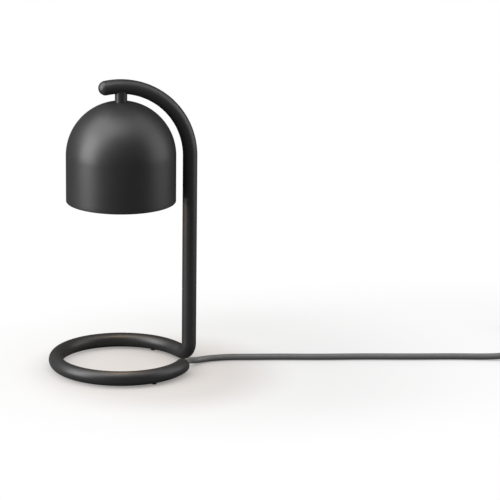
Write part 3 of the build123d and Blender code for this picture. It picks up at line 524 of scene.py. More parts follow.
# Steatite ceramic, pressed and fired: chalky white with faint specks.
STEATITE = Finish("fired_steatite", "#e6e2d8", "#d9d4c8", 0.52, 0.08, ior=1.58, grain_mm=0.8,
                  depth_mm=0.02, mottle_mm=4)
# Zinc-plated steel: a cool grey with cloudy gloss.
ZINC_STEEL = Finish("zinc_plated_steel", "#b9bcc0", "#9da1a6", 0.34, 0.09, metallic=1.0,
                    grain=Grain.BRUSHED, grain_mm=0.5, depth_mm=0.004, mottle_mm=5)
# Turned brass of the contacts: a dull yellow metal with fine lines.
BRASS = Finish("turned_brass", "#c9a45c", "#b38f4a", 0.3, 0.06, metallic=1.0, grain=Grain.BRUSHED,
               grain_mm=0.4, depth_mm=0.003, mottle_mm=4)
# Nickel plate over brass: a warm silver with fine drawing lines along the pins.
NICKEL = Finish("nickel_plated_brass", "#cfcbc2", "#b9b5ac", 0.22, 0.05, metallic=1.0,
                grain=Grain.BRUSHED, grain_mm=0.4, depth_mm=0.002, mottle_mm=4,
                lines_along=(0.02, 1.0, 1.0))
# Aluminium evaporated on pressed glass: a bright mirror, a little hazy.
MIRROR = Finish("aluminised_glass", "#e4e5e8", "#d2d4d8", 0.1, 0.03, metallic=1.0, grain_mm=2.0,
                depth_mm=0.004, mottle_mm=6)
# Soda-lime front glass: clear and smooth.
FRONT_GLASS = Finish("clear_front_glass", "#fbfbf8", "#f6f6f2", 0.04, 0.02, ior=1.52, grain_mm=6.0,
                     depth_mm=0.01, transmission=1.0)
# Tungsten wire at working heat: it glows a warm white.
FILAMENT = Finish("hot_tungsten", "#ffd9a0", "#ffd096", 0.4, 0.05, metallic=1.0, grain_mm=0.5,
                  depth_mm=0.001, glow=14.0)
# Fibreglass board under green solder mask: a flat dark green with a faint weave.
BOARD = Finish("green_solder_mask", "#1d5a35", "#184c2c", 0.38, 0.06, grain=Grain.WOVEN,
               grain_mm=1.0, depth_mm=0.01)
# Moulded phenolic of the parts on the board: near black and half dull.
PART_PHENOLIC = Finish("moulded_phenolic", "#1e1e20", "#18181a", 0.5, 0.05,
                       grain_mm=0.6, depth_mm=0.006)
# Turned aluminium of the dial's shaft: a bright grey with fine lines.
SHAFT_ALUMINIUM = Finish("turned_aluminium", "#c3c5c9", "#adafb4", 0.3, 0.06, metallic=1.0,
                         grain=Grain.BRUSHED, grain_mm=0.4, depth_mm=0.003, mottle_mm=4)
# Extruded silicone sleeve of the holder's wires: off white with a soft skin.
WIRE_SILICONE = Finish("white_silicone_sleeve", "#dcdad2", "#cfccc3", 0.5, 0.05, ior=1.41,
                       grain_mm=0.8, depth_mm=0.006)
# Woven nylon strap round the coil: threads of 0.5 mm, drawn coarse, about 6 mm apart.
STRAP_NYLON = Finish("woven_nylon_strap", "#232324", "#1a1a1b", 0.7, 0.06, grain=Grain.WOVEN,
                     grain_mm=1.0, depth_mm=0.12)


@dataclass
class Assembly:
    """What the sub-assemblies share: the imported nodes, dressing them and placing new pieces."""

    nodes: Mapping[str, bpy.types.Object]

    def dress(self, finish: Finish, *names: str) -> None:
        """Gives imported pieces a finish.

        Args:
            finish: The finish.
            names: The pieces' node names.
        """
        for name in names:
            materials = self.nodes[name].data.materials
            materials.clear()
            materials.append(finish.material())
            log.info("dressed %s in %s", name, finish.name)

    def place(self, piece: bpy.types.Object, finish: Finish, slot: str, *replaced: str,
              body: str = "lamp") -> bpy.types.Object:
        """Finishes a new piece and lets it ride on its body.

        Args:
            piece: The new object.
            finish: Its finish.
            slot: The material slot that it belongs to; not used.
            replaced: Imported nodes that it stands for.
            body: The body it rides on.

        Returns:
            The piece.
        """
        piece.data.materials.append(finish.material())
        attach(piece, body)
        if replaced:
            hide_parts(*replaced)
        log.info("placed %s in %s", piece.name, finish.name)
        return piece

    def build(self) -> None:
        """Makes and dresses every piece of the sub-assembly."""
        raise NotImplementedError


# ---------------------------------------------------------------- cord
class Route(Enum):
    """The cord's routes, in metres: to the controller, from it to the coil, from the coil on."""

    FRONT = (
        (0.067574, -0.028144, 0.009), (0.070841, -0.023112, 0.009), (0.0742, -0.0183, 0.0078),
        (0.0817, -0.0112, 0.0051), (0.0899, -0.0056, 0.0038), (0.0984, -0.0025, 0.0035),
        (0.109, -0.0019, 0.0035), (0.124, -0.0021, 0.0035), (0.144, -0.0065, 0.0035),
        (0.177, -0.0126, 0.0035), (0.222, -0.0234, 0.0035), (0.272, -0.0323, 0.0035),
        (0.324, -0.0446, 0.0035), (0.370, -0.0534, 0.0035), (0.402, -0.062, 0.0035),
        (0.422, -0.0676, 0.0046), (0.435, -0.0695, 0.0067), (0.446, -0.0695, 0.0067),
    )
    REAR = (
        (0.562, -0.0695, 0.0067), (0.576, -0.0695, 0.0067), (0.594, -0.0692, 0.0045),
        (0.613, -0.0693, 0.0046),
    )
    TAIL = (
        (0.610, 0.018, 0.01066), (0.594, 0.0181, 0.01186), (0.574, 0.0183, 0.00966),
        (0.555739, 0.019424, 0.00685), (0.54125, 0.023306, 0.00685),
    )


@dataclass
class MainsCord(Assembly):
    """Round mains cord: a front stretch, then the coil of spare cord and its tail to the plug."""

    radius: float = 3.5
    coil_centre: tuple[float, float] = (612.0, -24.0)
    row_z: float = 4.6
    row_rise: float = 6.06
    outer_turn_r: float = 45.5
    points_per_turn: int = 24
    first_deg: float = -90.0
    last_deg: float = 1530.0
    inward_deg: tuple[tuple[float, float], ...] = ((190, 250), (550, 610))
    climb_deg: tuple[float, float] = (830, 900)
    outward_deg: tuple[float, float] = (1270, 1330)
    crossings_deg: tuple[tuple[float, float], ...] = ((890, 990), (1250, 1350))
    crossing_rise: float = 1.3
    tie_gap: float = 0.35
    tie_t: float = 0.75
    tie_half_deg: float = 9.0
    tie_tail_t: float = 1.3
    tie_tail_in_deg: float = 1.5
    tie_end_power: float = 0.3  # the lower, the later the strap's tail thins to its ends
    tie_steps: int = 7  # points for each corner of the bundle, and across the strap

    def build(self) -> None:
        """Lays both cords and the coil's tie."""
        coil = self.coil_points() * MM
        self.front = self.lay("front_cord", np.array(Route.FRONT.value), "cord_front_run")
        self.rear = self.lay("coiled_cord", np.vstack((Route.REAR.value, coil, Route.TAIL.value)),
                             "cord_rear_run", "cord_coil", "cord_plug_tail")
        self.tie = self.place(self.strap(), STRAP_NYLON, "tie_strap", "coil_tie")

    def coil_points(self) -> np.ndarray:
        """The coil's control points.

        Each turn of 360 degrees keeps its radius and steps to the next by the cord's diameter at
        one place of the coil. The lower row winds inwards in three turns, then the cord climbs
        and moves out by its radius, and the upper row winds outwards; a hump lifts it where it
        crosses another turn. Control points lie off the circle by one over the cosine of half a
        step.

        Returns:
            The points, in millimetres.
        """
        step = 360 / self.points_per_turn
        turn = np.arange(self.first_deg + step, self.last_deg, step)
        climb = ease(turn, *self.climb_deg)
        radius = self.outer_turn_r + self.radius * climb + 2 * self.radius * (
            ease(turn, *self.outward_deg) - sum(ease(turn, *span) for span in self.inward_deg))
        radius = radius / math.cos(math.radians(step / 2))
        height = self.row_z + self.row_rise * climb + self.crossing_rise * sum(
            hump(turn, *span) for span in self.crossings_deg)
        spin = np.radians(turn)
        return np.column_stack((self.coil_centre[0] + radius * np.cos(spin),
                                self.coil_centre[1] + radius * np.sin(spin), height))

    def lay(self, name: str, points: np.ndarray, *replaced: str) -> bpy.types.Object:
        """Lays a cord as one open smooth spline.

        Args:
            name: The piece's name.
            points: Its control points, in metres.
            replaced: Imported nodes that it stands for.

        Returns:
            The cord.
        """
        curve = bpy.data.curves.new(name, "CURVE")
        curve.dimensions = "3D"
        curve.bevel_depth = self.radius * MM
        curve.bevel_resolution = 7
        curve.use_fill_caps = True
        spline = curve.splines.new("NURBS")
        spline.points.add(len(points) - 1)
        spline.points.foreach_set("co", np.column_stack((points, np.ones(len(points)))).ravel())
        spline.order_u = 3
        spline.use_endpoint_u = True
        spline.resolution_u = 10
        return self.place(stand(name, curve), CORD_PVC, "cord_jacket", *replaced)

    def strap(self) -> bpy.types.Object:
        """Strap round the bundle: the bundle's outline turned through the strap's width.

        A point of the outline is a turn's centre plus the offset times a level direction, which
        sweeps from one side's outward direction to the next; the strap turns it about the coil.

        Returns:
            The strap.
        """
        inner, outer, over = self.tie_gap, self.tie_gap + self.tie_t, self.tie_gap + self.tie_tail_t
        half_deg, tail_half_deg = self.tie_half_deg, self.tie_half_deg - self.tie_tail_in_deg
        return model("coil_strap", [self.band(inner, outer, half_deg, 0, 4),
                                    self.band(outer, over, tail_half_deg, 2, 3)])

    def bundle(self) -> np.ndarray:
        """Middles of the turns at the bundle's corners: two of the lower row, two of the upper.

        Returns:
            Each one's (radius, height).
        """
        out, wide, low = self.outer_turn_r, 2 * self.radius, self.row_z
        high = low + self.row_rise
        return np.array([(out - 2 * wide, low), (out, low), (out - wide / 2, high),
                         (out - 1.5 * wide, high)])

    def band(self, inner: float, outer: float, half_deg: float, first: int, last: int) -> Patch:
        """One layer of the strap: outlines of (radius, height) about the coil, one for each turn.

        A layer that doesn't go the whole way round thins to nothing at its ends, and there its
        places and stations change roles, so that the ends close.

        Args:
            inner: Offset of its inner face from the turns' centres, past the cord's radius.
            outer: Offset of its outer face.
            half_deg: Half the width, as a turn about the coil.
            first: First side of the bundle that it covers, or 0 for the whole way round.
            last: Last side that it covers.

        Returns:
            The layer as a closed patch.
        """
        centres = self.bundle()
        sides = np.roll(centres, -1, axis=0) - centres
        facing = np.degrees(np.arctan2(-sides[:, 0], sides[:, 1]))
        corner_turn = np.mod(facing - np.roll(facing, 1), 360)
        steps, half = self.tie_steps, self.tie_steps // 2
        share = np.linspace(0.0, 1.0, steps)[None, :]
        angles = np.radians((facing - corner_turn)[:, None] + corner_turn[:, None] * share)
        rims = np.stack((np.cos(angles), np.sin(angles)), axis=-1)

        def outline(offset: float) -> np.ndarray:
            """The bundle's outline at an offset, or the stretch of it that the layer covers."""
            ring = (centres[:, None, :] + (self.radius + offset) * rims).reshape(-1, 2)
            return ring[first * steps + half:last * steps + half + 2] if first else ring

        width = np.linspace(-half_deg, half_deg, steps)
        spin = np.radians(np.concatenate((width, width[::-1])))
        sections = np.stack([outline(outer)] * steps + [outline(inner)] * steps)
        if first:
            rounding = np.sin(np.linspace(0, math.pi, sections.shape[1])) ** self.tie_end_power
            middle = (outline(outer) + outline(inner)) / 2
            sections = middle + (sections - middle) * rounding[None, :, None]
        out, up = sections[..., 0], sections[..., 1]
        rings = np.stack((self.coil_centre[0] + out * np.cos(spin)[:, None],
                          self.coil_centre[1] + out * np.sin(spin)[:, None], up), axis=-1)
        return Patch(np.transpose(rings, (1, 0, 2))) if first else Patch(rings, loops=True)

    def declare(self, front_pieces: Sequence[Any], rear_pieces: Sequence[Any]) -> None:
        """Takes the pieces on the cords, and does nothing with them.

        Args:
            front_pieces: Pieces on the front stretch; not used.
            rear_pieces: Pieces on the coiled stretch; not used.
        """


# ---------------------------------------------------------------- tube
@dataclass
class BentTube(Assembly):
    """The bent tube: arm and post, the cast elbow, the floor ring and the two domed end caps."""

    tube_r: float = 8.0
    wall: float = 1.2
    ring_r: float = 72.0
    ring_z: float = 9.0
    ring_end_deg: float = 327.0
    post_x: float = 77.0
    arm_r: float = 80.5
    arm_z: float = 236.0
    arm_past_deg: float = 9.655
    elbow_r: float = 14.0
    elbow_bore_r: float = 4.5
    spigot_l: float = 12.0
    spigot_play: float = 0.05
    cap_spigot_l: float = 5.0
    cap_play: float = 0.35
    nose: float = 6.2
    cord_hole_r: float = 4.25
    seam: float = 0.25
    around: int = 96
    post_steps: int = 40
    arm_steps: int = 120
    lead_steps: int = 6
    ring_steps: int = 240
    elbow_steps: int = 40
    dome_steps: int = 28

    def __post_init__(self) -> None:
        """Works out the tube's turning points."""
        self.lead_deg = math.degrees(math.acos(self.ring_r / self.post_x))
        self.lead = heading(self.lead_deg + 90)
        self.foot = np.array((self.post_x, 0.0, self.ring_z + self.elbow_r))
        self.lead_start = np.array((self.post_x, 0.0, self.ring_z)) + self.elbow_r * self.lead
        self.arm_middle = np.array((self.post_x - self.arm_r, 0.0, self.arm_z))
        self.ring_middle = np.array((0.0, 0.0, self.ring_z))

    def build(self) -> None:
        """Makes the tube's pieces."""
        shoulder = (self.post_x, 0.0, self.arm_z)
        arm = line(self.foot, shoulder, self.post_steps).then(
            arc(self.arm_middle, shoulder, UP, 90 + self.arm_past_deg, self.arm_steps))
        tangent_point = self.ring_middle + self.ring_r * heading(self.lead_deg)
        ring = line(self.lead_start, tangent_point, self.lead_steps).then(
            arc(self.ring_middle, tangent_point, self.lead, self.ring_end_deg - self.lead_deg,
                self.ring_steps))
        for piece, node in ((self.hollow("arm_and_post", arm, (0.0, 1.0, 0.0)), "arm_tube"),
                            (self.hollow("floor_ring", ring, UP), "base_ring"),
                            (self.elbow(), "base_elbow")):
            self.place(piece, POWDER_COAT, "frame_coat", node)
        self.place(self.cap("arm_end_plug", arm, False), CAP_NYLON, "cap_plastic", "arm_end_cap")
        self.place(self.cap("ring_end_plug", ring, True), CAP_NYLON, "cap_plastic", "ring_end_cap")
        self.dress(POWDER_COAT, "neck_collar")
        self.dress(FOOT_RUBBER, "rubber_feet")
        self.dress(CORD_PVC, "inner_cable")

    def hollow(self, name: str, path: Path, side: Sequence[float]) -> bpy.types.Object:
        """Tube with a wall: the outer circle carried along the path and the bore's carried back.

        Args:
            name: The piece's name.
            path: Its centreline.
            side: A direction square to the whole path.

        Returns:
            The tube.
        """
        outer = carry(path, circle(self.tube_r, self.around), np.asarray(side))
        bore = carry(path, circle(self.tube_r - self.wall, self.around), np.asarray(side))
        return model(name, [Patch(np.concatenate((outer, bore[::-1])), loops=True)])

    def elbow(self) -> bpy.types.Object:
        """Cast elbow: its bore carried forward along the bend, its outside and spigots back."""
        bend_middle = self.foot + self.elbow_r * self.lead
        top, low = self.foot + self.spigot_l * UP, self.lead_start + self.spigot_l * self.lead
        bend = arc(bend_middle, self.foot, -UP, 90, self.elbow_steps)
        path = line(top, self.foot).then(bend).then(line(self.lead_start, low))
        end = len(path.points) - 1
        order = np.concatenate((
            np.arange(end + 1), [end, end - 1], np.arange(end - 1, 0, -1), [1, 0]))
        spigot_r = self.tube_r - self.wall - self.spigot_play
        radii = np.concatenate((np.full(end + 1, self.elbow_bore_r), [spigot_r, spigot_r],
                                np.full(end - 1, self.tube_r), [spigot_r, spigot_r]))
        there = Path(path.points[order], path.tangents[order])
        sections = radii[:, None, None] * circle(1.0, self.around)[None]
        rings = carry(there, sections, np.cross(UP, self.lead))
        return model("cast_elbow", [Patch(rings, loops=True)])

    def cap(self, name: str, path: Path, bored: bool) -> bpy.types.Object:
        """Domed cap turned about the tube's end: a spigot, a hair-wide seam and a half round nose.

        Args:
            name: The piece's name.
            path: The centreline whose end it closes.
            bored: Whether the cord leaves through it.

        Returns:
            The cap.
        """
        start = math.asin(self.seam / self.tube_r)
        stop = math.asin(self.nose / self.tube_r) if bored else math.pi / 2
        dome = bow((0.0, 0.0), self.tube_r, start, stop, self.dome_steps)
        spigot_r = self.tube_r - self.wall - self.cap_play
        back = [(spigot_r, -self.cap_spigot_l), (spigot_r, 0.0), (self.tube_r - self.seam, 0.0)]
        if bored:
            hole = self.cord_hole_r
            profile = np.vstack((back, dome, [(hole, self.nose), (hole, -self.cap_spigot_l)]))
        else:
            profile = np.vstack(([(0.0, -self.cap_spigot_l)], back, dome))
        rings = turned(profile, path.points[-1], path.tangents[-1], self.around)
        return model(name, [Patch(rings, loops=bored)])


# ---------------------------------------------------------------- shade
@dataclass
class HangingShade(Assembly):
    """The spun dome shade with its rolled rim, and the threaded hanger inside it."""

    radius: float = 60.0
    wall: float = 1.0
    crown_z: float = 299.6
    dome_z: float = 240.0
    bead_z: float = 190.0
    bead_r: float = 1.0
    hole_r: float = 5.05
    nipple_bore_r: float = 4.0
    nipple_low_z: float = 288.7
    nipple_top_z: float = 311.7
    thread_pitch: float = 1.0
    thread_depth: float = 0.55
    thread_play: float = 0.05
    nut_flats: float = 14.0
    nut_t: float = 3.0
    nut_chamfer_deg: float = 30.0
    nut_face_cut: float = 0.15
    nut_lows: tuple[float, float] = (294.4, 290.2)
    strap_w: float = 12.0
    strap_t: float = 1.2
    strap_half_l: float = 17.0
    strap_top_z: float = 294.4
    strap_low_z: float = 279.0
    strap_foot_l: float = 8.7
    strap_bend_r: float = 1.8
    strap_edge_r: float = 0.3
    around: int = 240
    dome_steps: int = 90
    side_steps: int = 12
    bead_steps: int = 22
    thread_around: int = 48
    steps_per_thread: int = 6
    nut_around: int = 96
    nut_steps: int = 13

    def build(self) -> None:
        """Makes the shade and its hanger."""
        self.place(self.shade(), POWDER_COAT, "shade_coat", "shade")
        self.place(self.nipple(), ZINC_STEEL, "zinc_steel", "threaded_nipple")
        nuts = model("clamp_nuts", [self.nut(low) for low in self.nut_lows])
        self.place(nuts, ZINC_STEEL, "zinc_steel", "nipple_nuts")
        self.place(self.strap(), ZINC_STEEL, "zinc_steel", "holder_bracket")
        self.dress(ZINC_STEEL, "shade_washer", "bracket_screws")

    def shade(self) -> bpy.types.Object:
        """Turns the shade's profile: crown flat, sphere, cylinder, rolled bead, and back inside."""
        top = math.asin((self.crown_z - self.dome_z) / self.radius)
        inside_r = self.radius - self.wall
        inside_top = math.asin((self.crown_z - self.wall - self.dome_z) / inside_r)
        middle, rim = (0.0, self.dome_z), (self.radius - self.bead_r, self.bead_z)
        side = np.linspace((self.radius, self.dome_z), (self.radius, self.bead_z), self.side_steps)
        profile = np.vstack((
            [(self.hole_r, self.crown_z)],
            bow(middle, self.radius, top, 0.0, self.dome_steps), side[1:-1],
            bow(rim, self.bead_r, 0.0, -1.5 * math.pi, self.bead_steps),
            side[-3:0:-1] - (self.wall, 0.0),
            bow(middle, inside_r, 0.0, inside_top, self.dome_steps),
            [(self.hole_r, self.crown_z - self.wall)]))
        rings = turned(profile, around=self.around)
        return model("spun_shade", [Patch(rings, loops=True)], BEAD_SHARP_DEG)

    def nipple(self) -> bpy.types.Object:
        """Hollow threaded rod.

        Its radius falls by a triangle wave of the height less the turn's share of a pitch.

        Returns:
            The rod.
        """
        around, step = self.thread_around, self.thread_pitch / self.steps_per_thread
        heights = np.arange(self.nipple_low_z, self.nipple_top_z + step / 10, step)
        share = np.arange(around) / around
        phase = np.mod(heights[:, None] / self.thread_pitch - share[None, :], 1.0)
        cut = self.thread_depth * np.abs(2 * phase - 1)
        radius = self.hole_r - self.thread_play - cut
        radius[[0, -1]] = self.hole_r - self.thread_play - self.thread_depth
        bore = ringed(np.full((2, around), self.nipple_bore_r),
                      np.array([[self.nipple_top_z], [self.nipple_low_z]]))
        rings = np.concatenate((ringed(radius, heights[:, None]), bore))
        return model("hanger_nipple", [Patch(rings, loops=True)], THREAD_SHARP_DEG)

    def nut(self, low: float) -> Patch:
        """Chamfered nut.

        Its radius at a turn is half the flats' distance over the cosine of the angle from the
        nearest flat's middle, and no more than a cone that opens from each face's circle.

        Args:
            low: Height of its lower face.

        Returns:
            The nut as a closed patch.
        """
        around, half = self.nut_around, self.nut_flats / 2
        off_flat = np.mod(np.arange(around) * 2 * math.pi / around, math.pi / 3) - math.pi / 6
        hexagon = half / np.cos(off_flat)
        heights = np.linspace(0.0, self.nut_t, self.nut_steps)[[0, *range(self.nut_steps), -1]]
        slope = math.tan(math.radians(self.nut_chamfer_deg))
        cone = half - self.nut_face_cut + np.minimum(heights, self.nut_t - heights) / slope
        radius = np.minimum(hexagon[None, :], cone[:, None])
        radius[[0, -1]] = self.hole_r
        return Patch(ringed(radius, (low + heights)[:, None]), loops=True)

    def strap(self) -> bpy.types.Object:
        """Bent strip: a flat rounded section carried along its folded line, closed at both ends."""
        out, low = self.strap_half_l - self.strap_t / 2, self.strap_low_z + self.strap_t / 2
        high, toe = self.strap_top_z - self.strap_t / 2, self.strap_half_l - self.strap_foot_l
        corners = [(toe, low), (out, low), (out, high), (-out, high), (-out, low), (-toe, low)]
        folds = soften(corners, self.strap_bend_r, steps=7, closed=False)
        points = np.column_stack((folds[:, 0], np.zeros(len(folds)), folds[:, 1]))
        path = Path(points, directions(points))
        half_w, half_t = self.strap_w / 2, self.strap_t / 2
        flat = [(half_w, half_t), (-half_w, half_t), (-half_w, -half_t), (half_w, -half_t)]
        section = soften(flat, self.strap_edge_r, steps=3)
        return model("holder_strap", [capped(carry(path, section, (0.0, 1.0, 0.0)))])


# ---------------------------------------------------------------- reflector lamp
@dataclass
class ReflectorLamp(Assembly):
    """The twist-lock halogen reflector lamp and the ceramic holder above it."""

    base_low_z: float = 246.7
    socket_z: float = 254.7
    rim_z: float = 219.7
    rim_h: float = 2.5
    radius: float = 25.0
    neck_r: float = 9.0
    glass: float = 1.2
    facet_depth: float = 0.28
    facets_around: int = 30
    facet_rows: int = 9
    rim_edge: float = 0.3
    lens_t: float = 1.5
    lens_swell: float = 0.35
    lens_r: float = 23.75
    capsule_r: float = 4.5
    capsule_l: float = 20.0
    root_share: float = 0.9
    pinch: float = 0.45
    pinch_l: float = 6.0
    pinch_ease: float = 2.0
    filament_r: float = 0.8
    filament_half_l: float = 2.6
    filament_up: float = 6.5
    wire_r: float = 0.16
    filament_turns: int = 9
    bowl_around: int = 240
    bowl_steps: int = 82

    def build(self) -> None:
        """Makes the lamp and dresses its holder."""
        self.place(self.reflector(), MIRROR, "mirror_coat", "bulb_reflector", body="bulb")
        self.place(self.lens(), FRONT_GLASS, "clear_glass", "bulb_lens", body="bulb")
        self.place(self.capsule(), FRONT_GLASS, "clear_glass", "bulb_capsule", body="bulb")
        self.place(self.filament(), FILAMENT, "clear_glass", body="bulb")
        self.dress(STEATITE, "bulb_base", "lampholder_body")
        self.dress(NICKEL, "bulb_pins")
        self.dress(BRASS, "lampholder_contacts")
        self.dress(WIRE_SILICONE, "holder_wires")

    def reflector(self) -> bpy.types.Object:
        """Glass bowl with a faceted inside.

        The bowl's squared radius grows evenly with depth. Each facet of the inside is a shallow
        dish: the wall thins by the depth times the product of the squared sines of half a turn
        across the facet, along and around, and each row is half a facet further round.

        Returns:
            The reflector.
        """
        around, low = self.bowl_around, self.rim_z + self.rim_h
        fall = np.linspace(0.0, 1.0, self.bowl_steps)
        outside_r = np.sqrt(self.neck_r**2 + fall * (self.radius**2 - self.neck_r**2))
        heights = self.base_low_z + fall * (low - self.base_low_z)
        row = fall * self.facet_rows
        share = np.arange(around) / around
        across = self.facets_around * share[None, :] + 0.5 * np.floor(row)[:, None]
        dish = (np.sin(math.pi * row) ** 2)[:, None] * np.sin(math.pi * across) ** 2
        inside_z = heights[:, None] + self.facet_depth * dish
        inside_r = outside_r - self.glass
        plain = np.column_stack((
            [*outside_r, self.radius, self.radius - self.rim_edge, self.radius - self.glass],
            [*heights, self.rim_z + self.rim_edge, self.rim_z, self.rim_z]))
        neck = np.array([(self.neck_r - self.glass, self.socket_z), (self.neck_r, self.socket_z)])
        wide = np.ones((1, around))
        rings = np.concatenate((
            ringed(plain[:, :1] * wide, plain[:, 1:]),
            ringed(inside_r[:, None] * wide, inside_z)[::-1],
            ringed(neck[:, :1] * wide, neck[:, 1:])))
        return model("faceted_reflector", [Patch(rings, loops=True)], THREAD_SHARP_DEG)

    def lens(self) -> bpy.types.Object:
        """Front glass: a turned disc whose outer face swells by a hair towards its middle."""
        share = np.linspace(0.0, 1.0, 14)
        outer = np.column_stack((self.lens_r * share, self.rim_z + self.lens_swell * share**2))
        rim = [(self.lens_r, self.rim_z + self.lens_t)]
        profile = np.vstack((outer, rim, [(0.0, self.rim_z + self.lens_t)]))
        return model("front_lens", [Patch(turned(profile, around=96))])

    def capsule(self) -> bpy.types.Object:
        """Quartz capsule: a turned barrel with a domed tip and a flat pinch at its root."""
        radius, thin = self.capsule_r, self.capsule_r * self.root_share
        low, root = self.socket_z - self.capsule_l, self.socket_z
        bottom, top = root - self.pinch_l, root - self.pinch_l + self.pinch_ease
        tip = bow((0.0, low + radius), radius, -math.pi / 2, 0.0, 14)
        barrel = [(radius, bottom), (thin, top), (thin, root), (0.0, root)]
        rings = turned(np.vstack((tip, barrel)), around=48)
        rings[..., 1] *= 1 - self.pinch * ease(rings[..., 2], bottom, top)
        return model("halogen_capsule", [Patch(rings)])

    def filament(self) -> bpy.types.Object:
        """Coiled filament: a wire's circle carried along a helix about a level axis."""
        turn = np.linspace(0.0, 2 * math.pi * self.filament_turns, 16 * self.filament_turns)
        middle = self.socket_z - self.capsule_l + self.filament_up
        along = np.linspace(-self.filament_half_l, self.filament_half_l, len(turn))
        spokes = np.column_stack((np.zeros(len(turn)), np.cos(turn), np.sin(turn)))
        axis = np.column_stack((along, np.zeros(len(turn)), np.full(len(turn), middle)))
        points = axis + self.filament_r * spokes
        path = Path(points, directions(points))
        side = np.cross(path.tangents, spokes)
        side /= np.linalg.norm(side, axis=1, keepdims=True)
        return model("filament", [capped(carry(path, circle(self.wire_r, 8), side))])


# ---------------------------------------------------------------- reliefs, controller, plug
@dataclass
class TaperedRelief:
    """A moulded strain relief: a taper with staggered slots that let it bend."""

    origin: Sequence[float] | np.ndarray
    axis: Sequence[float] | np.ndarray
    start: float
    length: float
    root_r: float
    tip_r: float = 3.9
    collar_r: float = 0.0
    collar_t: float = 0.0
    slot_pitch: float = 2.6
    slot_depth: float = 0.55
    slots_from: float = 3.0
    slot_wave: tuple[float, float] = (1.6, 0.75)  # gain and cut of the wave along the axis
    slot_reach: tuple[float, float] = (3.0, 0.6)  # gain and cut of the wave around it
    last_slot: float = 0.8  # the slots end this many pitches before the tip
    barrel_play: float = 0.3
    collar_edge: float = 0.3
    tip_edge: float = 0.25
    edge: float = 0.2
    around: int = 64
    steps_per_mm: int = 5
    least_steps: int = 24

    def rings(self) -> Rings:
        """Taper less the slots.

        The radius runs evenly from root to tip. A slot is the depth times a narrow bump along
        the axis times a wide window around it, and each slot faces a quarter turn from the last.

        Returns:
            The surface from the buried end to the tip.
        """
        steps = max(self.least_steps, int(self.length * self.steps_per_mm))
        along = np.linspace(0.0, self.length, steps)
        radius = self.root_r + (self.tip_r - self.root_r) * along / self.length
        number, place = np.divmod((along - self.slots_from) / self.slot_pitch, 1.0)
        inside = (number >= 0) & (along < self.length - self.slot_pitch * self.last_slot)
        gain, cut = self.slot_wave
        bump = np.where(inside, np.clip(gain * np.sin(math.pi * place) - cut, 0.0, 1.0), 0.0)
        turn = np.arange(self.around) * 2 * math.pi / self.around + number[:, None] * math.pi / 2
        gain, cut = self.slot_reach
        window = np.clip(gain * np.abs(np.cos(turn)) - cut, 0.0, 1.0)
        full = radius[:, None] - self.slot_depth * bump[:, None] * window
        body = turned(np.column_stack((np.ones(len(along)), along)), around=self.around)
        body[..., :2] *= full[..., None]
        barrel_r, rim, edge = self.root_r - self.barrel_play, self.collar_r, self.edge
        root = [(0.0, self.start), (barrel_r, self.start), (barrel_r, 0.0)]
        if rim:
            top = self.collar_t
            root += [(rim - edge, 0.0), (rim, edge), (rim, top - self.collar_edge),
                     (rim - self.collar_edge, top), (self.root_r, top)]
            body = body[along > top]
        tip = [(self.tip_r, self.length - edge), (self.tip_r - self.tip_edge, self.length),
               (0.0, self.length)]
        ends = [turned(np.array(profile), around=self.around) for profile in (root, tip)]
        return self.moved(np.concatenate((ends[0], body[:-1], ends[1])))

    def moved(self, local: Rings) -> Rings:
        """Stands the relief on its axis: height along it, the other measures along its spokes.

        Args:
            local: The relief's rings about the upright axis.

        Returns:
            The rings in their place.
        """
        along = unit(self.axis)
        level = unit(np.cross(UP, along))
        return (np.asarray(self.origin) + local[..., :1] * level
                + local[..., 1:2] * np.cross(along, level) + local[..., 2:] * along)


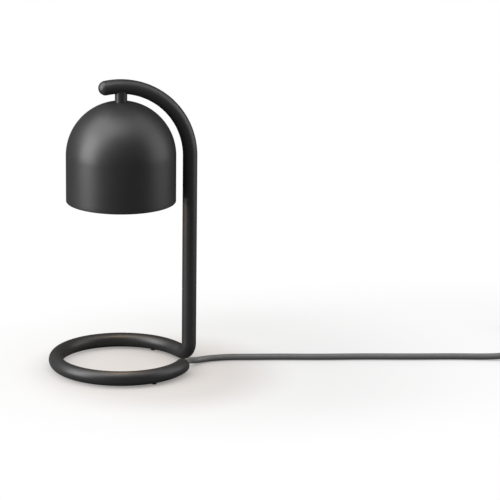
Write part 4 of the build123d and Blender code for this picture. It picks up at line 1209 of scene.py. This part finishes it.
@dataclass
class CordController(Assembly):
    """In-line controller: two-part case, dimmer dial, push button and two strain reliefs."""

    centre: tuple[float, float] = (504.0, -69.5)
    half_l: float = 38.0
    half_w: float = 18.0
    corner_r: float = 9.0
    edge_r: float = 2.5
    wall: float = 2.0
    parting_z: float = 12.0
    top_z: float = 22.0
    groove: float = 0.4
    button_at: float = 17.0
    button_r: float = 5.0
    button_gap: float = 0.3
    button_low_z: float = 15.1
    button_top_z: float = 23.6
    button_edge: float = 0.35
    flange_r: float = 6.4
    flange_t: float = 1.4
    dial_at: float = -15.0
    dial_r: float = 11.0
    dial_low_z: float = 22.3
    dial_top_z: float = 28.3
    dial_edge: float = 1.6
    dial_dish: float = 0.6
    flutes: int = 36
    flute_depth: float = 0.45
    pointer_half: tuple[float, float] = (0.55, 2.6)
    pointer_r: float = 0.5
    pointer_at: float = 6.2
    pointer_sunk: float = 0.3
    pointer_proud: float = 0.08
    cord_z: float = 6.7
    relief_l: float = 20.0
    relief_root_r: float = 4.3
    marks: int = 11
    mark_r: float = 13.2
    mark_sizes: tuple[float, float] = (0.35, 0.75)
    mark_t: float = 0.06
    scale_start_deg: float = 225.0
    scale_deg: float = 270.0

    def build(self) -> None:
        """Makes the case's cover, the dial, the button, the scale and the reliefs."""
        self.outer_pieces = [
            self.place(self.cover(), CASE_ABS, "case_plastic", "switch_cover"),
            self.place(self.dial(), KNOB_ABS, "knob_plastic", "dimmer_dial", body="dial"),
            self.place(self.pointer(), SCALE_INK, "knob_plastic", body="dial"),
            self.place(self.button(), KNOB_ABS, "knob_plastic", "push_button", body="button"),
            self.place(self.scale(), SCALE_INK, "case_plastic")]
        self.inlet = self.place(self.relief("inlet_relief", -1), RELIEF_PVC, "relief_rubber",
                                "switch_inlet_relief")
        self.outlet = self.place(self.relief("outlet_relief", 1), RELIEF_PVC, "relief_rubber",
                                 "switch_outlet_relief")
        self.dress(CASE_ABS, "switch_base")
        self.dress(ZINC_STEEL, "case_screws")
        self.dress(BOARD, "circuit_board")
        self.dress(PART_PHENOLIC, "potentiometer", "tact_switch")
        self.dress(SHAFT_ALUMINIUM, "dial_shaft")

    def pieces(self) -> list[Any]:
        """The pieces that lie on the cord with the controller."""
        names = ("switch_base", "case_screws", "circuit_board", "potentiometer", "tact_switch",
                 "dial_shaft")
        return [*self.outer_pieces, self.inlet, *(self.nodes[name] for name in names)]

    def outline(self, inset: float) -> np.ndarray:
        """The case's outline, moved inwards."""
        return rounded_box(self.half_l - inset, self.half_w - inset, self.corner_r - inset)

    def cover(self) -> bpy.types.Object:
        """Cover with a button hole.

        Its top is a mix of the hole's circle and the case's outline, place by place. The edge is
        a quarter circle, and the foot steps in by the parting groove. The inside returns to the
        hole at the wall's distance.

        Returns:
            The cover.
        """
        hole_middle = np.array((self.button_at, 0.0))
        toward = self.outline(self.edge_r) - hole_middle
        toward = toward / np.linalg.norm(toward, axis=1, keepdims=True)

        def hole(grow: float) -> np.ndarray:
            """The button hole's circle, grown a little."""
            return hole_middle + (self.button_r + self.button_gap + grow) * toward

        def level(flat: np.ndarray, height: float) -> np.ndarray:
            """An outline at a height."""
            return np.column_stack((flat, np.full(len(flat), height)))

        bevel, round_r, under = self.button_edge, self.edge_r, self.top_z - self.wall
        mouth, brink, inside = hole(bevel), self.outline(round_r), self.outline(self.wall)
        stations = [level(hole(0.0), under), level(hole(0.0), self.top_z - bevel),
                    level(mouth, self.top_z)]
        stations += [level(mouth + share * (brink - mouth), self.top_z)
                     for share in np.linspace(0.0, 1.0, 9)[1:]]
        stations += [level(self.outline(round_r * (1 - math.sin(turn))),
                           self.top_z - round_r * (1 - math.cos(turn)))
                     for turn in np.linspace(0.0, math.pi / 2, 9)[1:]]
        stations += [level(self.outline(0.0), self.parting_z + self.groove),
                     level(self.outline(self.groove), self.parting_z),
                     level(inside, self.parting_z), level(inside, under)]
        rings = np.stack(stations)
        rings[..., :2] += np.array(self.centre)
        return model("controller_cover", [Patch(rings, loops=True)])

    def dial(self) -> bpy.types.Object:
        """Fluted dial.

        The radius falls by the flute depth times the fourth power of the sine of half the
        flutes' phase, and the top sinks into a shallow dish. Each station of the outline is its
        radius, its height and the share of the flutes' depth that it takes.

        Returns:
            The dial.
        """
        around = self.flutes * 8
        turn = np.arange(around) * 2 * math.pi / around
        flute = self.flute_depth * np.sin(self.flutes * turn / 2) ** 4
        low, top = self.dial_low_z, self.dial_top_z
        side, edge = self.dial_r, self.dial_r - self.dial_edge
        radius, height, depth = np.array((
            (4.0, low, 0), (side - 0.5, low, 0.4), (side, low + 0.5, 1), (side, low + 2.0, 1),
            (side, top - 1.3, 1), (side - 0.25, top - 0.5, 0.85), (side - 0.9, top - 0.08, 0.3),
            (edge, top, 0), (7.5, top - 0.25, 0), (5.0, top - 0.45, 0), (2.5, top - 0.55, 0),
            (0.0, top - self.dial_dish, 0))).T
        full = radius[:, None] - depth[:, None] * flute[None, :]
        rings = ringed(full, height[:, None])
        closed = np.concatenate((rings[:1] * (0, 0, 1), rings))
        return model("dimmer_knob", [Patch(closed + np.array((*self.dial_middle(), 0.0)))])

    def dial_middle(self) -> np.ndarray:
        """The dial's axis in plan."""
        return np.array(self.centre) + (self.dial_at, 0.0)

    def pointer(self) -> bpy.types.Object:
        """Inlaid pointer: a thin rounded bar on the dial's dish, from near its edge inwards."""
        bar = rounded_box(*self.pointer_half, self.pointer_r, corner=5, side=2)
        bar = bar + self.dial_middle() + (0.0, self.pointer_at)
        reach = np.linalg.norm(bar - self.dial_middle(), axis=1) / (self.dial_r - self.dial_edge)
        dish = self.dial_top_z - self.dial_dish * (1 - reach**2)
        low = np.column_stack((bar, dish - self.pointer_sunk))
        high = np.column_stack((bar, np.minimum(dish + self.pointer_proud, self.dial_top_z)))
        return model("dial_pointer", [capped(np.stack((low, high)))])

    def button(self) -> bpy.types.Object:
        """Push button: a turned cap with a soft edge and a dished top, and a flange inside."""
        top, low, side, wide = self.button_top_z, self.button_low_z, self.button_r, self.flange_r
        flange = self.top_z - self.wall - self.button_gap
        profile = np.array([
            (0.0, low), (side, low), (side, flange - self.flange_t), (wide, flange - self.flange_t),
            (wide, flange), (side, flange), (side, top - 0.7), (side - 0.12, top - 0.3),
            (side - 0.4, top - 0.06), (side - 0.8, top), (3.0, top - 0.22), (1.5, top - 0.34),
            (0.0, top - 0.38)])
        where = (self.centre[0] + self.button_at, self.centre[1], 0.0)
        return model("button_cap", [Patch(turned(profile, where, around=72))])

    def scale(self) -> bpy.types.Object:
        """Printed marks: dots that grow evenly over three quarters of a turn round the dial."""
        small, large = self.mark_sizes
        marks = []
        for share in np.linspace(0.0, 1.0, self.marks):
            turn = self.scale_start_deg - self.scale_deg * share
            spot = self.dial_middle() + self.mark_r * heading(turn)[:2]
            radius = small + (large - small) * share
            dot = np.array([(0.0, 0.0), (radius, 0.0), (radius, self.mark_t), (0.0, self.mark_t)])
            marks.append(Patch(turned(dot, (*spot, self.top_z), around=16)))
        return model("dial_scale", marks)

    def relief(self, name: str, side: int) -> bpy.types.Object:
        """Strain relief in an end wall.

        Args:
            name: The piece's name.
            side: -1 at the inlet and 1 at the outlet.

        Returns:
            The relief.
        """
        origin = (self.centre[0] + side * self.half_l, self.centre[1], self.cord_z)
        taper = TaperedRelief(origin, (side, 0, 0), -self.wall, self.relief_l, self.relief_root_r)
        return model(name, [Patch(taper.rings())])


@dataclass
class FlatPlug(Assembly):
    """Flat two-pin plug with waisted grips and a slotted tail."""

    rear: tuple[float, float, float] = (520.0, 29.0, 6.85)
    turn_deg: float = 15.0
    length: float = 36.0
    tail_l: float = 22.0
    face_half_w: float = 17.65
    face_half_t: float = 6.85
    rear_half_w: float = 8.5
    rear_half_t: float = 5.5
    waist: float = 0.6
    grip_ribs: int = 4
    rib_depth: float = 0.3
    grip_from: float = 0.3  # where the ribs start, as a share of the body
    grip_share: float = 0.4
    edge_r: float = 1.2
    flat: float = 0.01  # half the flat on the body's nearly round sides
    stations: int = 60
    sleeve_r: float = 1.7
    sleeve_l: float = 10.0
    sleeve_root: float = 2.0
    sleeve_edge: float = 0.2
    pin_spacing: float = 18.6

    def build(self) -> None:
        """Makes the plug's body and dresses its pins."""
        self.body_piece = self.place(self.shell(), CASE_ABS, "plug_plastic", "plug_body")
        self.dress(NICKEL, "plug_pins")

    def shell(self) -> bpy.types.Object:
        """Body, tail and pin sleeves.

        The body's half width and thickness run evenly from rear to face. A waist takes off up
        to its depth by the squared sine of half a turn along the body, the grip ribs are small
        waves over the waist, and the face's edge turns in by a quarter circle.

        Returns:
            The plug.
        """
        ahead = -heading(-self.turn_deg)
        side = heading(90 - self.turn_deg)
        share = np.linspace(0.0, 1.0, self.stations)
        waist = self.waist * np.sin(math.pi * share) ** 2
        grip = np.clip((share - self.grip_from) / self.grip_share, 0, 1)
        wave = np.sin(2 * math.pi * self.grip_ribs * grip) ** 2
        ribs = self.rib_depth * np.sin(math.pi * grip) * wave
        past = np.maximum(self.edge_r - self.length * (1 - share), 0)
        turn_in = self.edge_r - np.sqrt(np.maximum(self.edge_r**2 - past**2, 0))
        half_w = self.rear_half_w + (self.face_half_w - self.rear_half_w) * share
        half_w = half_w - waist - ribs - turn_in
        half_t = self.rear_half_t + (self.face_half_t - self.rear_half_t) * share - turn_in
        sections = np.stack([rounded_box(wide, thick, thick - self.flat, side=5)
                             for wide, thick in zip(half_w, half_t)])
        spine = Path(np.asarray(self.rear) + share[:, None] * self.length * ahead,
                     np.tile(ahead, (self.stations, 1)))
        body = capped(carry(spine, sections, side))
        tail = TaperedRelief(self.rear, -ahead, -1.0, self.tail_l, self.rear_half_t,
                             slots_from=4.0, slot_pitch=3.0, slot_depth=0.8)
        tip, edge = self.sleeve_root + self.sleeve_l, self.sleeve_edge
        sleeve = np.array([(0.0, 0.0), (self.sleeve_r, 0.0), (self.sleeve_r, tip - edge),
                           (self.sleeve_r - edge, tip), (0.0, tip)])
        root = np.asarray(self.rear) + ahead * (self.length - self.sleeve_root)
        sleeves = [
            Patch(turned(sleeve, root + side * hand * self.pin_spacing / 2, ahead, around=32))
            for hand in (1, -1)]
        return model("plug_shell", [body, Patch(tail.rings()), *sleeves])


@dataclass
class RingOutlet(Assembly):
    """Strain relief where the cord leaves the ring's end."""

    tube: BentTube
    barrel_l: float = 14.2
    length: float = 7.0
    root_r: float = 4.5

    def build(self) -> None:
        """Makes the relief: a collar against the cap's nose and a taper on the cord."""
        tube, out = self.tube, heading(self.tube.ring_end_deg + 90)
        end = tube.ring_middle + tube.ring_r * heading(tube.ring_end_deg)
        seat = end + tube.nose * out
        taper = TaperedRelief(seat, out, -self.barrel_l, self.length, self.root_r, collar_r=4.9,
                              collar_t=1.8, slots_from=3.2, slot_pitch=2.2, slot_depth=0.3)
        self.piece = self.place(model("ring_outlet_relief", [Patch(taper.rings())]), RELIEF_PVC,
                                "relief_rubber", "cord_strain_relief")


# ---------------------------------------------------------------- studio
@dataclass(frozen=True)
class Softbox:
    """A rectangular soft light: its place, two sides, watts and what it faces, in metres."""

    name: str
    place: tuple[float, float, float]
    sides: tuple[float, float]
    watts: float
    target: tuple[float, float, float] = (0.0, 0.0, 0.2)

    def light(self) -> None:
        """Stands the softbox and turns it to its target."""
        box = bpy.data.lights.new(self.name, "AREA")
        box.shape, box.energy = "RECTANGLE", self.watts
        box.size, box.size_y = self.sides
        lamp = stand(self.name, box)
        lamp.location = self.place
        facing = Vector(self.target) - Vector(self.place)
        lamp.rotation_euler = facing.to_track_quat("-Z", "Y").to_euler()


SOFTBOXES = (
    Softbox("key_light", (-0.73, -0.03, 1.10), (1.2, 1.0), 16.2),
    Softbox("side_light", (-1.19, -0.12, 0.46), (0.68, 0.95), 17.6, target=(0.0, 0.0, 0.22)),
    Softbox("fill_light", (1.12, -0.28, 0.38), (0.9, 0.82), 5.3),
    Softbox("top_light", (-0.10, -0.30, 1.25), (0.7, 0.7), 4.2),
    Softbox("slant_light", (0.72, -0.16, 1.05), (0.9, 0.9), 4.2),
)


@dataclass
class Studio:
    """White sweep, soft light and the camera. Its sizes are metres."""

    target: tuple[float, float, float] = (0.0, 0.0, 0.150)
    azimuth_deg: float = -11.9
    pitch_deg: float = 14.92
    distance: float = 3.021
    focal_px: float = 2758.0
    frame_px: float = 500.0
    sensor_mm: float = 36.0
    pan_px: float = 128.9
    tilt_deg: float = 0.298
    floor_centre: tuple[float, float] = (0.26, -0.01)
    floor_half: tuple[float, float] = (0.66, 0.38)
    floor_z: float = -0.0002
    floor_rings: int = 12
    floor_around: int = 96
    floor_paint_colour: str = "#6c6c6c"
    fade_share: tuple[float, float] = (0.36, 0.86)  # of the way from the oval's middle to its rim
    # a warm painted shadow on the floor under the lamp: its middle, reach and tint
    painted_shadow_centre: tuple[float, float] = (0.03, -0.03)
    painted_shadow_reach: tuple[float, float] = (0.08, 0.165)
    painted_shadow_tint: tuple[float, float, float] = (0.485, 0.460, 0.443)
    open_tint: tuple[float, float, float] = (0.645, 0.645, 0.645)
    lift_reach: tuple[float, float] = (0.17, 0.4)
    lift: float = 1.14
    # painted contact shade on the floor: how far it looks for the object, and its darkest level
    painted_nook_shade_reach: float = 0.03
    painted_nook_shade_level: float = 0.45
    room_matt: float = 0.35
    room_glossy: float = 0.08
    lit_z: float = 0.218
    lit_width: float = 0.045
    lit_watts: float = 0.2
    lit_colour: str = "#ffdcb8"

    def build(self) -> None:
        """Makes the camera, the floor, the world and the lamps."""
        bpy.context.scene.view_settings.view_transform = "Standard"
        self.camera()
        self.floor()
        self.world()
        self.lamps()

    def camera(self) -> None:
        """Stands the camera back from the target by azimuth and pitch, then pans and tilts it."""
        turn, pitch = math.radians(self.azimuth_deg), math.radians(self.pitch_deg)
        back = Vector((math.sin(turn) * math.cos(pitch), -math.cos(turn) * math.cos(pitch),
                       math.sin(pitch)))
        right = (-back).cross(Vector((0, 0, 1))).normalized()
        up = right.cross(-back)
        pan, tilt = math.atan(self.pan_px / self.focal_px), math.radians(self.tilt_deg)
        ahead = -back * math.cos(pan) + right * math.sin(pan)
        right = right * math.cos(pan) + back * math.sin(pan)
        ahead, up = (ahead * math.cos(tilt) - up * math.sin(tilt),
                     up * math.cos(tilt) + ahead * math.sin(tilt))
        eye = stand("camera", bpy.data.cameras.new("camera"))
        eye.data.sensor_width = self.sensor_mm
        eye.data.lens = self.focal_px / self.frame_px * self.sensor_mm
        eye.data.clip_end = 50.0
        eye.matrix_world = Matrix.Translation(Vector(self.target) + back * self.distance) @ Matrix(
            (right, up, -ahead)).transposed().to_4x4()
        bpy.context.scene.camera = eye
        log.info("camera placed")

    def floor(self) -> None:
        """Pale oval floor whose edge fades to the white behind it."""
        share = np.linspace(0.0, 1.0, self.floor_rings)[:, None, None]
        oval = circle(1.0, self.floor_around)[None] * np.array(self.floor_half) * share
        oval = oval + np.array(self.floor_centre)
        rings = np.concatenate((oval, np.full(oval.shape[:2] + (1,), self.floor_z)), axis=-1) / MM
        sweep = model("floor", [Patch(rings)])
        sweep.data.materials.append(self.floor_paint())
        log.info("floor placed")

    def floor_paint(self) -> bpy.types.Material:
        """Matt white paint near the object, and plain white towards the rim.

        Where the camera sees it, the paint is lifted by a glow. Its tint runs from a warm painted
        shadow under the lamp to plain grey, it is dimmed by painted contact shade in creases close
        to the object, and it grows a little with distance. All other rays meet the paint alone.

        Returns:
            The material.
        """
        made = bpy.data.materials.new("matt_white_sweep")
        tree = emptied(made)
        place = add_node(tree, "ShaderNodeTexCoord").outputs["Object"]
        seen = self.clear_rays(tree)
        middle = add_node(tree, "ShaderNodeMapping", {
            "Location": (*self.floor_centre, 0.0), "Scale": (*self.floor_half, 1.0)},
            {"Vector": place}, vector_type="TEXTURE").outputs["Vector"]
        reach = add_node(tree, "ShaderNodeVectorMath", links={0: middle},
                         operation="LENGTH").outputs["Value"]
        away = add_node(tree, "ShaderNodeVectorMath", {1: (*self.painted_shadow_centre, 0.0)}, {0: place},
                        operation="DISTANCE").outputs["Value"]
        ramps = ((reach, self.fade_share, (0.0, 1.0)), (away, self.painted_shadow_reach, (0.0, 1.0)),
                 (away, self.lift_reach, (1.0, self.lift)))
        fade, painted_shadow, far = (
            add_node(tree, "ShaderNodeMapRange",
                     {"From Min": start, "From Max": end, "To Min": least, "To Max": most},
                     {"Value": measure}, interpolation_type="SMOOTHSTEP").outputs["Result"]
            for measure, (start, end), (least, most) in ramps)
        # the glow's tint is a painted warm shadow under the lamp, fading to plain grey
        tint = add_node(tree, "ShaderNodeMix", {6: (*self.painted_shadow_tint, 1), 7: (*self.open_tint, 1)},
                        {0: painted_shadow}, data_type="RGBA").outputs[2]
        # painted contact shade: the glow dims where the object stands close
        open_sky = add_node(tree, "ShaderNodeAmbientOcclusion", {"Distance": self.painted_nook_shade_reach},
                            samples=16).outputs["AO"]
        painted_nook_shade = add_node(tree, "ShaderNodeMapRange", {"To Min": self.painted_nook_shade_level},
                        {"Value": open_sky}).outputs["Result"]
        strength = seen
        for factor in (painted_nook_shade, far):
            strength = add_node(tree, "ShaderNodeMath", links={0: strength, 1: factor},
                                operation="MULTIPLY").outputs["Value"]
        share = add_node(tree, "ShaderNodeMath", links={0: fade, 1: seen},
                         operation="MULTIPLY").outputs["Value"]
        matt = add_node(tree, "ShaderNodeBsdfDiffuse", {"Color": linear(self.floor_paint_colour)})
        lift = add_node(tree, "ShaderNodeEmission", links={"Color": tint, "Strength": strength})
        near = add_node(tree, "ShaderNodeAddShader", links={0: matt.outputs[0], 1: lift.outputs[0]})
        white = add_node(tree, "ShaderNodeEmission", {"Color": (1, 1, 1, 1), "Strength": 1.0})
        mixed = add_node(tree, "ShaderNodeMixShader",
                         links={0: share, 1: near.outputs[0], 2: white.outputs[0]})
        add_node(tree, "ShaderNodeOutputMaterial", links={"Surface": mixed.outputs[0]})
        return made

    def clear_rays(self, tree: bpy.types.NodeTree) -> bpy.types.NodeSocket:
        """Adds a test: one for the camera's rays and for rays that came through glass, or zero.

        Args:
            tree: The node tree.

        Returns:
            The socket that gives the test.
        """
        path = add_node(tree, "ShaderNodeLightPath")
        return add_node(tree, "ShaderNodeMath", links={0: path.outputs["Is Camera Ray"],
                                                       1: path.outputs["Is Transmission Ray"]},
                        operation="MAXIMUM").outputs["Value"]

    def world(self) -> None:
        """Lights the world: white where it is seen, dim in reflections, soft on matt surfaces."""
        world = bpy.data.worlds.new("studio")
        bpy.context.scene.world = world
        tree = emptied(world)
        glossy = add_node(tree, "ShaderNodeLightPath").outputs["Is Glossy Ray"]
        room = add_node(tree, "ShaderNodeMix", {2: self.room_matt, 3: self.room_glossy},
                        {0: glossy}, data_type="FLOAT").outputs[0]
        level = add_node(tree, "ShaderNodeMix", {3: 1.0}, {0: self.clear_rays(tree), 2: room},
                         data_type="FLOAT").outputs[0]
        sky = add_node(tree, "ShaderNodeBackground", {"Color": (1, 1, 1, 1)}, {"Strength": level})
        add_node(tree, "ShaderNodeOutputWorld", links={"Surface": sky.outputs[0]})
        log.info("world set")

    def lamps(self) -> None:
        """Lights the five softboxes, and the reflector lamp as a warm disc at its front glass."""
        for softbox in SOFTBOXES:
            softbox.light()
        glow = bpy.data.lights.new("lit_lamp", "AREA")
        glow.shape, glow.size, glow.energy = "DISK", self.lit_width, self.lit_watts
        glow.color = linear(self.lit_colour)[:3]
        stand("lit_lamp", glow).location = (0.0, 0.0, self.lit_z)
        log.info("lamps placed")


def main() -> None:
    """Builds the studio's camera, then the sub-assemblies."""
    logging.basicConfig(level=logging.INFO, format="%(name)s: %(message)s")
    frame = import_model()
    nodes = frame["nodes"]
    Studio().build()
    cord = MainsCord(nodes)
    cord.build()
    tube = BentTube(nodes)
    outlet, controller, plug = RingOutlet(nodes, tube), CordController(nodes), FlatPlug(nodes)
    for assembly in (tube, outlet, HangingShade(nodes), ReflectorLamp(nodes), controller, plug):
        assembly.build()
        log.info("%s built", type(assembly).__name__)
    cord.declare([outlet.piece, *controller.pieces()],
                 [controller.outlet, plug.body_piece, nodes["plug_pins"], cord.tie])


if __name__ == "__main__":
    main()
